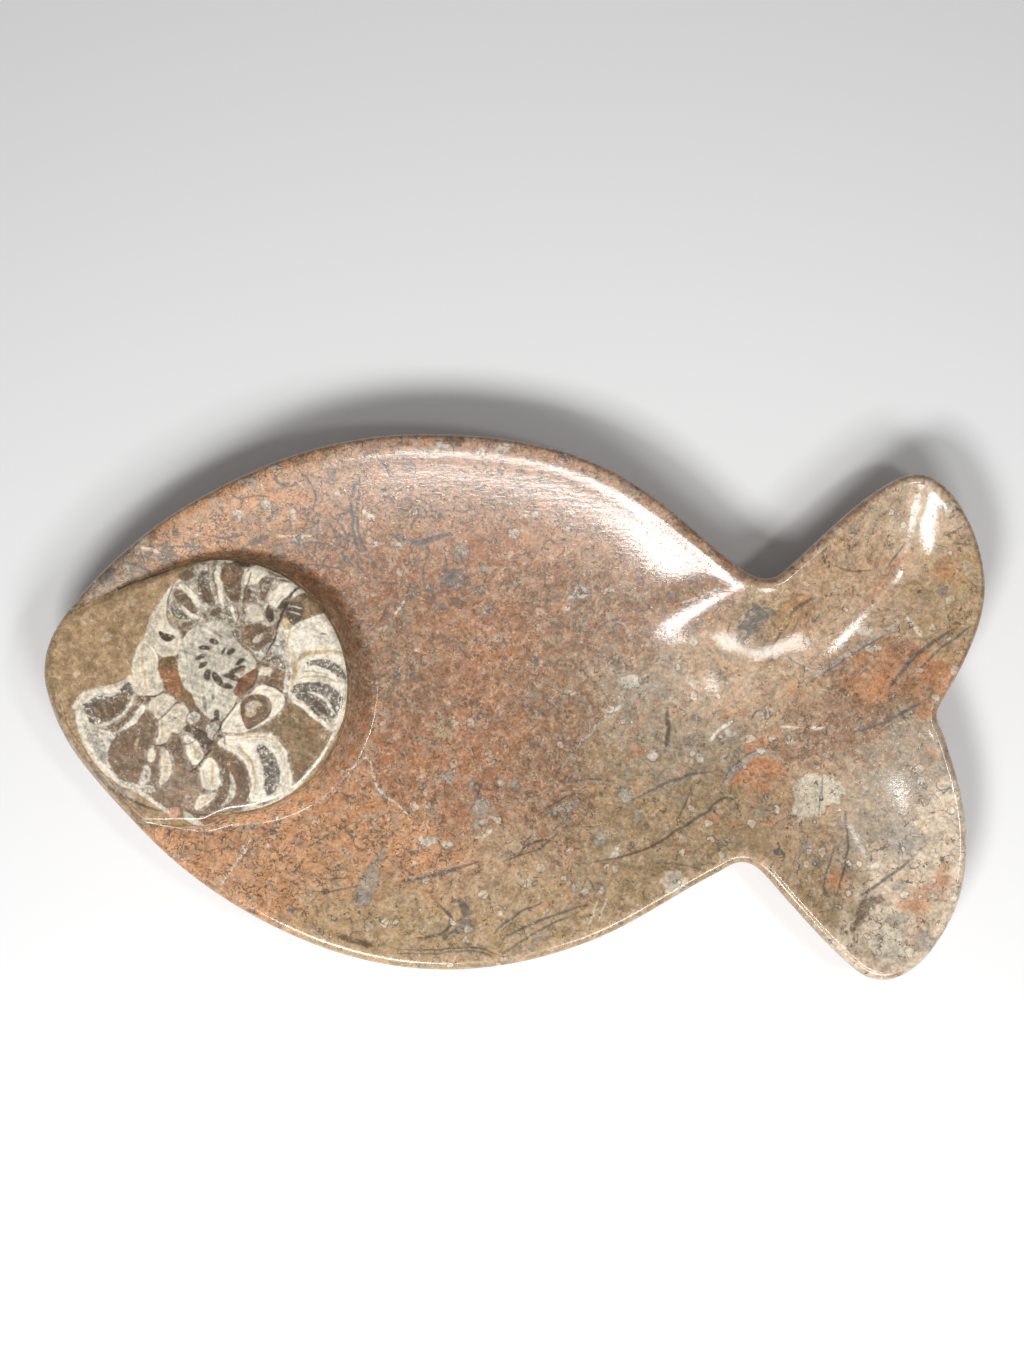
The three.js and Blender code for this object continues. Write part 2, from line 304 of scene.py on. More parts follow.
# Edges of shells cut by the saw: tone, width, then the line's points
SHELL_LINES = [
    ("slate", 0.9, [(-94, 35), (-90, 34), (-87, 32)]),
    ("slate", 0.5, [(-94, 33), (-88, 32)]),
    ("slate", 1.1, [(-104, 27), (-101, 30.2), (-97, 32.2), (-93.5, 34)]),
    ("slate", 0.8, [(-97.5, 34), (-94, 36), (-90, 36.6), (-86, 35)]),
    ("slate", 0.7, [(-86, 39), (-82, 38), (-78, 38.6), (-73, 38)]),
    ("chalk", 0.7, [(-92, 38.4), (-88, 38), (-85, 37)]),
    ("shadow", 0.6, [(-74, 41.4), (-70, 40.2), (-65, 41.6)]),
    ("slate", 0.6, [(-58, 55), (-55, 52.6), (-52, 53.5)]),
    ("slate", 0.6, [(-52, 57), (-49, 54), (-47.6, 50.5), (-48.6, 47.5)]),
    ("shadow", 0.5, [(-33, 60), (-30.6, 57.6), (-30, 54.5)]),
    ("slate", 0.6, [(-68, 51), (-65.5, 49.6), (-62, 50.8), (-58.5, 50.3)]),
    ("slate", 0.6, [(-45.5, 59), (-44, 61)]),
    ("slate", 0.7, [(-60, 38.2), (-56, 39.4), (-50, 39.8), (-45, 39.3), (-42.5, 38), (-40, 35.5)]),
    ("slate", 0.5, [(-58.2, 35.5), (-57.8, 36.5), (-56.5, 37.2), (-54, 37.3)]),
    ("chalk", 0.5, [(-57, 41.2), (-53, 41.4), (-49, 41.2)]),
    ("slate", 0.5, [(-47.5, 41), (-47.8, 44), (-46.5, 46)]),
    ("slate", 0.5, [(-45.5, 46), (-44.5, 43.5), (-43, 41)]),
    ("slate", 0.7, [(-44.5, 46.5), (-42, 44), (-40, 40)]),
    ("shadow", 0.5, [(-53, 34.3), (-50, 34.6), (-46, 34.2), (-42, 33.3), (-40.5, 32.8)]),
    ("slate", 1.0, [(-38.5, 54), (-39.2, 50), (-39.4, 46), (-39, 42), (-38.2, 38.5), (-37, 35)]),
    ("slate", 0.8, [(-37.3, 57), (-37.5, 52), (-38, 48), (-38, 44), (-37.6, 41), (-36.5, 38.5), (-35, 36),
        (-33.5, 34), (-32, 32.5)]),
    ("slate", 0.8, [(-42, 37), (-40.5, 35.5), (-39, 33.5)]),
    ("slate", 0.6, [(-35, 32.5), (-33.5, 30.5), (-31, 30), (-28, 29.8)]),
    ("shadow", 0.6, [(-25.5, 30), (-26.2, 27), (-27.5, 25), (-29.5, 22.3)]),
    ("chalk", 0.8, [(-29, 22.5), (-27, 26)]),
    ("shadow", 0.5, [(-31, 24.5), (-33, 20.5)]),
    ("pebble", 0.9, [(-38, 29.2), (-37, 27)]),
    ("chalk", 1.5, [(-36.6, 47.4), (-34, 45.2)]),
    ("shadow", 0.5, [(-31.5, 58.5), (-29.5, 56.5)]),
    ("slate", 0.7, [(-28, 62), (-25.5, 59), (-23.5, 57.5)]),
    ("slate", 0.5, [(-24, 50.5), (-21, 49.5), (-19.5, 46.5), (-19.5, 44.5)]),
    ("slate", 0.5, [(-14.5, 47.5), (-12.5, 46.7), (-11, 47.5), (-10.8, 49)]),
    ("olive", 1.2, [(-30, 45), (-27, 43.8), (-24, 42.8), (-20, 43)]),
    ("slate", 1.5, [(-30.5, 41.8), (-27, 40.5), (-23.5, 39.6), (-19.5, 40.8), (-15.5, 42)]),
    ("slate", 0.6, [(-20.5, 38), (-22, 35), (-22.5, 31), (-21.5, 28)]),
    ("slate", 0.6, [(-15, 39), (-13, 36.5), (-12, 34), (-11.5, 31), (-12, 28)]),
    ("slate", 0.5, [(-8.6, 39.4), (-7.4, 40.6), (-5.8, 40), (-5.4, 38.4)]),
    ("chalk", 0.6, [(31.5, 32), (33, 34.5), (36, 35.8), (41, 36), (47, 35.7)]),
    ("chalk", 0.5, [(40, 25), (45, 26.5), (49, 28.5)]),
    ("pebble", 0.9, [(11, -16), (12.5, -13), (15.5, -9.5), (20, -4.5), (24.5, -1.5), (28, 1.5), (31, 4.5),
        (34.5, 6), (36.5, 6)]),
    ("chalk", 0.8, [(24, -1.2), (26, 0.4)]),
    ("shadow", 1.2, [(37, 0), (37.5, -5), (37, -10)]),
    ("rust", 0.9, [(50, -3), (53.5, -2), (57, -1)]),
    ("slate", 0.6, [(57.7, -3), (58.5, -1), (60.4, -0.8), (61.3, -2.6)]),
    ("chalk", 0.9, [(47.5, -8.5), (48.5, -7), (50.5, -5), (53, -3.5)]),
    ("chalk", 0.5, [(-63.5, -32), (-66, -36), (-69.5, -41.5), (-70.5, -43)]),
    ("chalk", 0.7, [(-57.5, -26.5), (-57, -28.5)]),
    ("chalk", 0.6, [(-42, -15.5), (-39.5, -15), (-37.5, -13), (-36.3, -12.2), (-35.2, -13.5), (-34.5, -17),
        (-33.5, -20), (-31.5, -22), (-29, -23.5), (-26.5, -26), (-24.5, -29.8)]),
    ("shadow", 0.5, [(-50, -34), (-44.5, -30.5)]),
    ("shadow", 0.5, [(-53.5, -40), (-51, -37)]),
    ("shadow", 0.5, [(-44.5, -39.5), (-40.5, -39.2)]),
    ("shadow", 0.4, [(-46.5, -41.5), (-40, -41.2)]),
    ("slate", 0.5, [(-50, -44), (-46, -44.5), (-42, -44), (-37, -43)]),
    ("umber", 1.6, [(-42, -54.5), (-38, -56), (-34, -57)]),
    ("slate", 1.0, [(-26, -42), (-20, -41), (-17, -40), (-14.5, -39.5), (-9, -37.5)]),
    ("shadow", 0.9, [(-18.5, -47.5), (-16, -49.5), (-15, -51), (-16, -53), (-19, -55), (-24, -55.2)]),
    ("slate", 0.5, [(-28, -58.7), (-20, -59), (-14, -58.3), (-9, -58.2), (-6, -59.2), (-4.5, -60.2)]),
    ("shadow", 0.5, [(-28, -58), (-20, -58.1), (-14, -57.5), (-8, -57.4), (-4.5, -59)]),
    ("shadow", 0.8, [(1, -35.8), (2.5, -33.8), (4, -32.8), (8, -32.2)]),
    ("shadow", 0.5, [(-3, -37.5), (1, -36), (6, -34.5), (9, -32), (10.5, -30)]),
    ("slate", 0.6, [(-5, -54.5), (-3, -52), (0, -50), (4, -48), (7, -47)]),
    ("slate", 0.7, [(-3, -55), (1, -53.5), (5, -51.5), (9, -50), (14, -48.3), (18, -47)]),
    ("slate", 0.6, [(-3.5, -59.5), (-1, -57.5), (3, -55), (7, -52.8), (11, -50.8), (15, -49.5)]),
    ("shadow", 0.5, [(5.5, -26.5), (8, -24.5), (11, -22.5), (14, -21.3), (17, -21.3), (18, -22.5)]),
    ("slate", 0.7, [(11, -18.5), (15, -17.8), (19, -17.5), (23, -17.8), (26, -19.5)]),
    ("slate", 0.4, [(17.5, -40.8), (15.8, -44)]),
    ("slate", 0.4, [(17.5, -40.8), (19.5, -45)]),
    ("slate", 0.5, [(18, -37.5), (22, -37), (26, -36), (30, -34.7)]),
    ("chalk", 0.4, [(20, -46), (17.5, -52)]),
    ("chalk", 0.4, [(22, -46), (20, -51)]),
    ("slate", 0.8, [(27.5, -23), (32, -20.7), (36, -18.8), (40, -17.3), (44, -16.2), (48, -15.7)]),
    ("shadow", 0.5, [(42.8, -18.5), (42, -22), (40.5, -25), (38.5, -28)]),
    ("shadow", 0.4, [(43, -20), (42.5, -24)]),
    ("shadow", 0.7, [(22, -36.8), (26, -36), (30, -34.8), (34, -33), (38, -30.5), (42, -28), (46, -25.5),
        (49, -22.8), (51.5, -21.5), (53.5, -23), (54.5, -26.5)]),
    ("slate", 0.5, [(40, -28.5), (45, -26), (49, -24)]),
    ("slate", 0.5, [(33, -37.3), (38, -37.5), (42, -38), (46, -39.5)]),
    ("pebble", 1.6, [(50.5, -19.8), (52.5, -16.5), (54.5, -14.5), (57, -12.3), (60, -11), (64, -11)]),
    ("slate", 0.5, [(49.6, -20), (51.6, -16), (54, -13.6), (57, -11.3), (60, -10), (64, -10)]),
    ("rust", 0.6, [(50.5, -28.5), (55, -28), (60, -27.5), (68, -28.5)]),
    ("chalk", 0.8, [(65, -5), (69, -5)]),
    ("chalk", 0.8, [(71, -5.2), (75, -5.2)]),
    ("pebble", 1.3, [(72.5, 7.5), (75, 8.8), (78, 10.8), (81, 13), (85, 15.5), (89, 17.8), (93, 19.3)]),
    ("slate", 0.5, [(72.5, 6.8), (75, 8), (78, 10), (81, 12.1), (85, 14.6), (89, 17), (93, 18.6)]),
    ("chalk", 1.2, [(95, 21.8), (98, 17)]),
    ("slate", 1.1, [(90, 4), (93, 8), (95.5, 11.5), (99, 14.5), (104.5, 18.5)]),
    ("slate", 0.6, [(94, 6.5), (98, 10), (102, 14), (106, 17), (110, 20.5)]),
    ("slate", 1.0, [(82, -6), (86, -5), (89, -3.8), (92, -2), (95, -0.3), (97, 0.8)]),
    ("umber", 0.6, [(51.7, 20.4), (51.5, 18.5), (52, 16.9)]),
    ("shadow", 1.0, [(71.5, 26.2), (69.6, 24.8), (67.2, 23.6), (66, 21.8)]),
    ("shadow", 0.8, [(66.2, 19.8), (64.4, 18.2), (63.2, 15.8), (61.6, 13.4)]),
    ("umber", 0.5, [(68.5, 21.8), (67.6, 18.8), (66.2, 16.4)]),
    ("shadow", 0.5, [(57, 24), (55.2, 21), (54, 18), (54.2, 15.5)]),
    ("rust", 0.6, [(64, 22.8), (66.5, 25.5), (70, 27)]),
    ("rust", 0.5, [(70.5, 24.5), (69.4, 21), (70, 17.5)]),
    ("slate", 0.4, [(65.8, 12.8), (67.6, 11), (71.1, 9.2)]),
    ("rust", 0.9, [(83.5, 21.6), (87.6, 28.6), (92.3, 34.5), (98.1, 39.8)]),
    ("slate", 0.4, [(74.8, -16), (74.5, -21), (73.5, -27)]),
    ("umber", 0.5, [(75.5, 34.5), (78, 33.3), (81, 32.8), (84, 32.7), (86, 33)]),
    ("umber", 0.5, [(90, 33.5), (92, 36.3), (93.5, 38.5), (94.5, 40)]),
    ("umber", 0.5, [(102.5, 41), (105, 42), (108, 43.8)]),
    ("slate", 0.5, [(105, 39.2), (110, 38.8)]),
    ("shadow", 0.8, [(80, -25), (80.7, -29), (80.8, -33), (80.2, -37.4), (77.5, -45.3)]),
    ("slate", 0.7, [(77.5, -34), (76.5, -37), (75, -40), (74, -44), (76, -46)]),
    ("slate", 0.8, [(83, -46), (88, -43), (92, -40), (95.5, -37)]),
    ("slate", 0.5, [(-14, 15), (-10.5, 11)]),
    ("pebble", 0.7, [(-38, 13), (-36, 15.5), (-33, 17)]),
]

# Areas cut through a shell, a crystal or a pebble: tone, then the area's corners
SHELL_AREAS = [
    ("slate", [(-99.5, 31), (-96, 33.5), (-95.5, 31), (-98, 28.5)]),
    ("slate", [(-66.5, 37.5), (-63, 40.5), (-59, 42.5), (-58.8, 41), (-63, 38.8)]),
    ("chalk", [(-68, 47), (-65, 47.5), (-64.3, 45.5), (-66, 44.3)]),
    ("slate", [(-16.8, 36.5), (-16.2, 33.8), (-14.2, 33.8), (-12.8, 32), (-11.9, 29.8), (-13.2, 28.2),
        (-15.2, 29.6), (-17, 30), (-18.6, 28.6), (-18.2, 31), (-17.2, 32.5), (-17, 34)]),
    ("golden", [(63.2, 25.1), (68.2, 27.4), (72.3, 26.3), (72.3, 22.7), (70.5, 19.2), (71.7, 15.7),
        (67, 13.3), (63.5, 11), (60, 8.1), (57.6, 11), (61.1, 14.5), (62.3, 18), (63.5, 21.6)]),
    ("slate", [(57, 24.5), (61.1, 24.2), (63.2, 22.7), (60.5, 20.4), (57.6, 17.5), (55.3, 15.1),
        (53.5, 15.7), (53.2, 18), (54.7, 21.6)]),
    ("rust", [(52.6, -15.6), (57.4, -13.2), (64.7, -13.2), (66.5, -15.6), (63.5, -18.6), (58.7, -16.2),
        (53.8, -20.5)]),
    ("pebble", [(-1, -59), (2, -57.5), (7, -53.5), (9.5, -52.3), (6, -56.5), (2, -58.8)]),
    ("pebble", [(7, -27), (10, -24.2), (14, -22.6), (17, -22.8), (13, -25.5)]),
    ("disc", [(68, -18), (70, -16.5), (74.5, -16), (79, -17.5), (80.5, -20), (79, -23), (75, -24.8),
        (74, -26.5), (70, -27.5), (68, -27), (67.3, -23), (67, -20)]),
    ("shadow", [(79.5, -54), (82, -50), (84, -46), (88, -45), (90, -47), (86, -49), (83, -52),
        (80.5, -54.5)]),
    ("slate", [(71, -37.5), (73, -36), (75, -37.5), (73, -39)]),
    ("pebble", [(-36, -40), (-33.6, -36), (-31, -33.4), (-32.4, -38), (-33, -44), (-36, -49), (-40, -47)]),
    ("slate", [(-16, -46.2), (-13.2, -48), (-12.8, -50.5), (-14.6, -53.4), (-18.4, -54.8), (-14.6, -55.8),
        (-10.8, -53), (-10.2, -49), (-12.4, -46.6)]),
]

# Round cuts through stems and grains: tone, centre, two radii
SHELL_ROUNDS = [
    ("slate", -83, 36, 2.2, 1.6), ("slate", -81, 41.8, 0.8, 0.8), ("slate", -87, 41, 0.7, 0.7),
    ("chalk", -59.5, 48.2, 1.2, 1.2), ("chalk", -53.3, 46.5, 0.7, 1.5), ("pebble", -57.8, 45.9, 1, 1),
    ("chalk", -57, 56.8, 1.6, 0.7), ("pebble", -63, 53.5, 1.6, 1.2), ("shadow", -51, 59.5, 1.5, 1.3),
    ("slate", -43.8, 56.3, 0.9, 0.9), ("slate", -43.5, 54.5, 1.3, 0.8), ("chalk", -42.5, 51.2, 1, 0.5),
    ("slate", -51.5, 33.5, 1.4, 0.8), ("shadow", -26.6, 49, 1.7, 1.7), ("rose", -26.6, 49, 1.1, 1.1),
    ("chalk", -28, 38.8, 0.9, 0.9), ("chalk", -34, 39.5, 0.7, 0.7), ("chalk", -28.2, 32.7, 1, 1),
    ("chalk", -2.5, 62, 2.2, 1.1), ("chalk", -17, 62.5, 1.4, 0.8), ("chalk", -8, 61.5, 1.2, 0.8),
    ("umber", -14, 64, 2.4, 1.1), ("umber", -6, 64, 1.8, 0.9), ("umber", -27, 62.8, 2.2, 0.7),
    ("rust", -21, 64, 1.6, 0.8), ("umber", -21, 26, 1.8, 1.1), ("umber", -17, 28, 1.5, 0.9),
    ("umber", -14, 26, 1.6, 1), ("umber", -13, 25, 1.2, 0.8), ("slate", -18, 24.5, 1.3, 0.8),
    ("slate", -8.5, 28.5, 2.2, 1.4), ("pebble", -12.5, 37.5, 1.7, 1.7), ("pebble", -7.3, 33.5, 0.9, 0.9),
    ("brown", -1, 32.5, 1.8, 3.2), ("chalk", -0.5, 42, 1.5, 1), ("chalk", 2.5, 47, 0.8, 0.6),
    ("chalk", 5, 46.5, 0.8, 0.6), ("chalk", 13.5, 26.5, 1, 0.7), ("chalk", 12.5, 24, 0.9, 0.6),
    ("chalk", 13, 43.3, 0.7, 0.5), ("chalk", 22.5, 43, 0.7, 0.5), ("chalk", 23, 28.3, 1, 0.7),
    ("chalk", 16, 27.5, 2, 1.4), ("olive", -2.5, 49.5, 3, 1.8), ("chalk", 12, 61.5, 1.3, 1.6),
    ("chalk", 28, 6.3, 2.4, 1.8), ("slate", 44, -3, 1.6, 1), ("chalk", 14, 3.5, 1, 0.5),
    ("pebble", -63, -28.5, 1.8, 0.7), ("chalk", -63, -35.3, 0.7, 0.7), ("chalk", -59.7, -33.5, 0.6, 0.6),
    ("shadow", -33, -37, 0.7, 0.4), ("pebble", -36.5, -46, 2, 1.4), ("pebble", -16, -17, 1.6, 1.6),
    ("pebble", -10.6, -18.7, 0.8, 0.8), ("chalk", -3.8, -18.8, 0.8, 0.8), ("pebble", 0, -19, 1.3, 1.6),
    ("pebble", -8.2, -24.5, 2.2, 2.8), ("chalk", -5.5, -27, 0.7, 0.7), ("pebble", -9, -28.7, 1.2, 1.2),
    ("chalk", -9, -31.8, 0.7, 0.7), ("chalk", -7.3, -31.5, 0.7, 0.7), ("chalk", -6.7, -30.2, 0.6, 0.6),
    ("chalk", -21.3, -32.5, 2.3, 1.4), ("chalk", -16.5, -33.7, 1.6, 1), ("chalk", -24.5, -37.6, 0.5, 0.5),
    ("chalk", 24.2, -35, 1.1, 1.1), ("chalk", 24, -39, 0.8, 0.8), ("pebble", 14, -43.5, 1.2, 1.2),
    ("chalk", 17, -44.2, 1, 1), ("chalk", 20.8, -44, 0.7, 1.2), ("chalk", 11.3, -8.8, 0.5, 1.5),
    ("chalk", 13.3, -34.5, 1.1, 0.5), ("pebble", 27, -21.5, 1.8, 1.8), ("pebble", 20.5, -31.8, 1.6, 1.6),
    ("pebble", 27.5, -16.5, 0.8, 1.4), ("chalk", -11.5, -53.3, 1, 1), ("chalk", -3.5, -49.8, 0.6, 0.6),
    ("chalk", 5.7, -38.8, 0.5, 0.5), ("disc", 38, -41.7, 3.0, 2.4), ("chalk", 33.8, -11.8, 1, 1),
    ("chalk", 45, -12.3, 1.1, 1.1), ("pebble", 29.8, -26.8, 1, 1), ("chalk", 52.5, -6.5, 1.6, 1),
    ("chalk", 62.5, -7.8, 0.8, 0.8), ("pebble", 58.7, -25.7, 1.4, 1.2), ("pebble", 70.5, -34, 1.5, 1.5),
    ("shadow", 31.7, -28.8, 0.9, 0.9), ("shadow", 49, -33.5, 0.9, 0.9), ("rust", 30, -10.5, 2.2, 1.4),
    ("rust", 60.5, -14.7, 4, 2), ("rust", 53.5, -18, 1.2, 1), ("rust", 47.5, -27, 2.5, 1.3),
    ("chalk", 67.5, -8.5, 1.2, 0.6), ("pebble", 79.3, 14.8, 1.3, 1.3), ("chalk", 86.8, 14.2, 2, 0.9),
    ("chalk", 85, 18.5, 1.7, 1.1), ("pebble", 102.8, 28.3, 1.3, 1.3), ("rust", 82, 5, 3.5, 2.4),
    ("rust", 89, 6.5, 3, 2.4), ("rust", 101, 9.5, 3, 2), ("rust", 103.5, 32.5, 3, 1.5),
    ("rust", 68.5, 3.5, 2, 1.4), ("rust", 99, -1.5, 3, 1.5), ("shadow", 77.5, 4.5, 1.2, 0.9),
    ("shadow", 80, 3.5, 1, 0.7), ("chalk", 104, 48, 1.6, 1.1), ("rust", 77.5, -42, 2.5, 2),
    ("rust", 95.5, -48, 3.5, 1.8), ("rust", 102, -41, 1.6, 2.4), ("rust", 91, -64, 2.4, 0.9),
    ("disc", 90.2, -56.8, 4.2, 4.0), ("pebble", 98, -56, 2.5, 2.2), ("pebble", 92, -51, 2.5, 1.5),
    ("pebble", 94, -32, 5, 4), ("pebble", 93, -43, 1.6, 1.2), ("chalk", -24, 14, 0.9, 0.5),
    ("slate", -33, 8, 1.2, 0.6), ("slate", -34, 10.5, 1, 0.6), ("slate", -29.5, 13, 0.9, 0.5),
    ("slate", -28.5, 6.3, 1.1, 0.6), ("slate", -24, 7, 1, 0.7), ("khaki", -17, -6, 3, 2.2),
]


def linear(tone):
    """A tone's colour in linear light, from its bytes."""
    share = np.array(tone) / 255
    return np.where(share <= 0.04045, share / 12.92, ((share + 0.055) / 1.055) ** 2.4)


WAVE_COUNT = 14
WAVE_LENGTHS = (0.7, 1.5)


def ripple(spots, wavelength, seed):
    """Soft waves in many directions, mostly between -1 and 1."""
    draw = np.random.default_rng(seed)
    total = np.zeros(len(spots))
    for _ in range(WAVE_COUNT):
        heading = draw.uniform(0, math.tau)
        length = wavelength * draw.uniform(*WAVE_LENGTHS)
        across = spots @ np.array((math.cos(heading), math.sin(heading)))
        total += np.sin(across * math.tau / length + draw.uniform(0, math.tau))
    return total / math.sqrt(WAVE_COUNT)


CORNER_CUT = 0.25


def softened(points, closed, cuts=2):
    """The same run of points with its corners cut."""
    line = np.array(points, float)
    for _ in range(cuts):
        ahead = np.roll(line, -1, axis=0)
        if not closed:
            ahead = ahead[:-1]
        start = line if closed else line[:-1]
        leaving = (1 - CORNER_CUT) * start + CORNER_CUT * ahead
        arriving = CORNER_CUT * start + (1 - CORNER_CUT) * ahead
        cut = np.stack((leaving, arriving), axis=1).reshape(-1, 2)
        line = cut if closed else np.concatenate((line[:1], cut, line[-1:]))
    return line


def near(spots, points, margin):
    """Which spots lie in the box round some points."""
    low = np.min(points, axis=0) - margin
    high = np.max(points, axis=0) + margin
    return np.flatnonzero(((spots > low) & (spots < high)).all(axis=1))


EDGE_BLUR = 0.26
LINE_TIP = 0.25
LINE_TAPER = 3


def line_cover(spots, points, width):
    """How much of each spot a stroke covers. It thins to both ends."""
    line = softened(points, False)
    distance = np.full(len(spots), FAR)
    share = np.zeros(len(spots))
    for i, (a, b) in enumerate(zip(line, line[1:])):
        edge = b - a
        t = np.clip((spots - a) @ edge / (edge @ edge), 0, 1)
        away = np.hypot(*(spots - a - t[:, None] * edge).T)
        closer = away < distance
        distance = np.where(closer, away, distance)
        share = np.where(closer, (i + t) / (len(line) - 1), share)
    half = width / 2 * np.minimum(1, LINE_TIP + LINE_TAPER * np.minimum(share, 1 - share))
    return np.clip(0.5 + (half - distance) / EDGE_BLUR, 0, 1)


def area_depth(spots, corners, cuts=2):
    """How deep inside an area with softened corners each spot lies, negative outside."""
    border = softened(corners, True, cuts)
    distance = line_distance(spots, border, True)
    return np.where(is_inside(spots, border), distance, -distance)


def round_depth(spots, x, y, across, up, degrees=0.0):
    """How deep inside an oval each spot lies, negative outside."""
    along, aside = turned(spots, x, y, degrees)
    return (1 - np.hypot(along / across, aside / up)) * min(across, up)


def cover(depth):
    """How much of each spot something covers, from the spot's depth inside it."""
    return np.clip(0.5 + depth / EDGE_BLUR, 0, 1)


def band(depth, half, inside=0.0):
    """How much of each spot a band covers that runs along an edge, or some way inside it."""
    return cover(half - np.abs(depth - inside))


def mix_in(colour, ids, tone, share):
    """Lays a tone over the colour of some points."""
    goal = linear(tone)
    colour[ids] += share[:, None] * (goal - colour[ids])


def points_of(piece):
    """The place of every point of a piece, in millimetres."""
    place = np.empty(len(piece.data.vertices) * 3, np.float32)
    piece.data.vertices.foreach_get("co", place)
    return place.reshape(-1, 3).astype(float) / MM


def store(piece, name, values):
    """Keeps a colour or a value for every point of a piece, for its material to read."""
    if values.ndim == 2:
        layer = piece.data.attributes.new(name, "FLOAT_COLOR", "POINT")
        layer.data.foreach_set("color", np.column_stack((values, np.ones(len(values)))).ravel())
    else:
        layer = piece.data.attributes.new(name, "FLOAT", "POINT")
        layer.data.foreach_set("value", values)


def uneven(wave, middle, swing, least, most=1):
    """A share that a wave varies round a middle value."""
    return np.clip(middle + swing * wave, least, most)


def sway(spots, reach, wavelength, seed):
    """A soft sideways push for each spot."""
    return reach * np.stack((ripple(spots, wavelength, seed), ripple(spots, wavelength, seed + 1)), axis=1)


# Sways: reach and wavelength
EDGE_SWAY = (0.3, 5.0)
EDGE_CRUMBLE = (0.12, 1.4)
MARK_SEED = 20
LINE_WAVER = 0.35


def wavering(spots, seed):
    """The spots pushed about a little, so that no painted edge runs straight."""
    return spots + sway(spots, *EDGE_SWAY, seed) + sway(spots, *EDGE_CRUMBLE, seed + 2)


# The top's points lie in rings along the rim, where it curves most, and in rows over the rest. The rows keep
# every point where a mark has an edge, and a quarter of them elsewhere.
RIM_RINGS = [0.0, 0.1, 0.28, 0.55, 0.95, 1.5, 2.15]
CLEAR_OF_RING = 0.35
MARK_PITCH = 0.32
MARK_MARGIN = 0.32
MARK_REACH = 2
BLOCK_PITCH = 0.25
SEAM_BAND = 0.9
SIDE_ANGLES = [4, 9, 16, 25, 37, 50, 61, 72, 81, 90]


def rows(pitch, low, high):
    """Staggered rows of points over a rectangle, and which of them make rows of twice the pitch."""
    row_pitch = pitch * math.sin(math.pi / 3)
    columns = np.arange(int((high[0] - low[0]) / pitch))
    lines = np.arange(int((high[1] - low[1]) / row_pitch))
    column, line = np.meshgrid(columns, lines)
    across = low[0] + (column + 0.5 * (line % 2)) * pitch
    up = low[1] + line * row_pitch
    sparse = (line % 2 == 0) & ((column + line // 2) % 2 == 0)
    return np.stack((across.ravel(), up.ravel()), axis=1), sparse.ravel()


def marks_near(spots):
    """Which spots lie close to the edge of a mark."""
    moved = wavering(spots, MARK_SEED)
    lined = spots + LINE_WAVER * (moved - spots)
    close = np.zeros(len(spots), bool)
    for _, width, points in SHELL_LINES:
        ids = near(spots, points, MARK_REACH)
        close[ids] |= line_distance(lined[ids], softened(points, False), False) < width / 2 + MARK_MARGIN
    for _, corners in SHELL_AREAS:
        ids = near(spots, corners, MARK_REACH)
        close[ids] |= np.abs(area_depth(moved[ids], corners)) < 2 * MARK_MARGIN
    for _, x, y, across, up in SHELL_ROUNDS:
        ids = near(spots, [(x - across, y - up), (x + across, y + up)], MARK_REACH)
        close[ids] |= np.abs(round_depth(moved[ids], x, y, across, up)) < MARK_MARGIN
    return close


def top_points():
    """The plan points of the top: the rings along the rim, and the rest."""
    rings = [shifted(outline, inset, True) for inset in RIM_RINGS]
    slab_rows, sparse = rows(MARK_PITCH, outline.min(0), outline.max(0))
    slab_rows = slab_rows[sparse | marks_near(slab_rows)]
    slab_rows = slab_rows[seam_side(slab_rows) > SEAM_BAND]
    fine_low = (outline[:, 0].min(), seam[:, 1].min() - SEAM_BAND)
    fine_high = seam.max(0) + SEAM_BAND
    block_rows, _ = rows(BLOCK_PITCH, fine_low, fine_high)
    block_rows = block_rows[seam_side(block_rows) <= SEAM_BAND]
    spread = np.concatenate((slab_rows, block_rows))
    spread = spread[is_inside(spread, outline)]
    return rings, spread[line_distance(spread, outline, True) > RIM_RINGS[-1] + CLEAR_OF_RING]


def mesh_object(name, corners, faces):
    """An object whose mesh holds its place, from corners in millimetres."""
    mesh = bpy.data.meshes.new(name)
    mesh.from_pydata((np.asarray(corners) * MM).tolist(), [], [list(map(int, face)) for face in faces])
    mesh.update()
    piece = bpy.data.objects.new(name, mesh)
    bpy.context.scene.collection.objects.link(piece)
    return piece


ALL_TRIANGLES = 0
SAME_POINT = 1e-6


def plan_triangles(plan, borders):
    """Triangles over the points of a plan whose first points are its border."""
    corners = [Vector(spot) for spot in plan]
    spots, _, faces, *_ = delaunay_2d_cdt(corners, borders, [], ALL_TRIANGLES, SAME_POINT, False)
    if len(spots) != len(plan):
        raise ValueError("points of the plan merged")
    middles = plan[np.array(faces)].mean(axis=1)
    kept = is_inside(middles, plan[:len(borders)])
    return [list(face) for face, inside in zip(faces, kept) if inside]


# Hand polishing rounds the hollow's valleys, but keeps the rim and the foot of the block's wall
EASING_PITCH = 1.2
EASING_MARGIN = 3
EASING_ROUNDS = 8
EASED_FROM = (3.0, 8.0)
EASED_OFF_WALL = (7.0, 11.0)


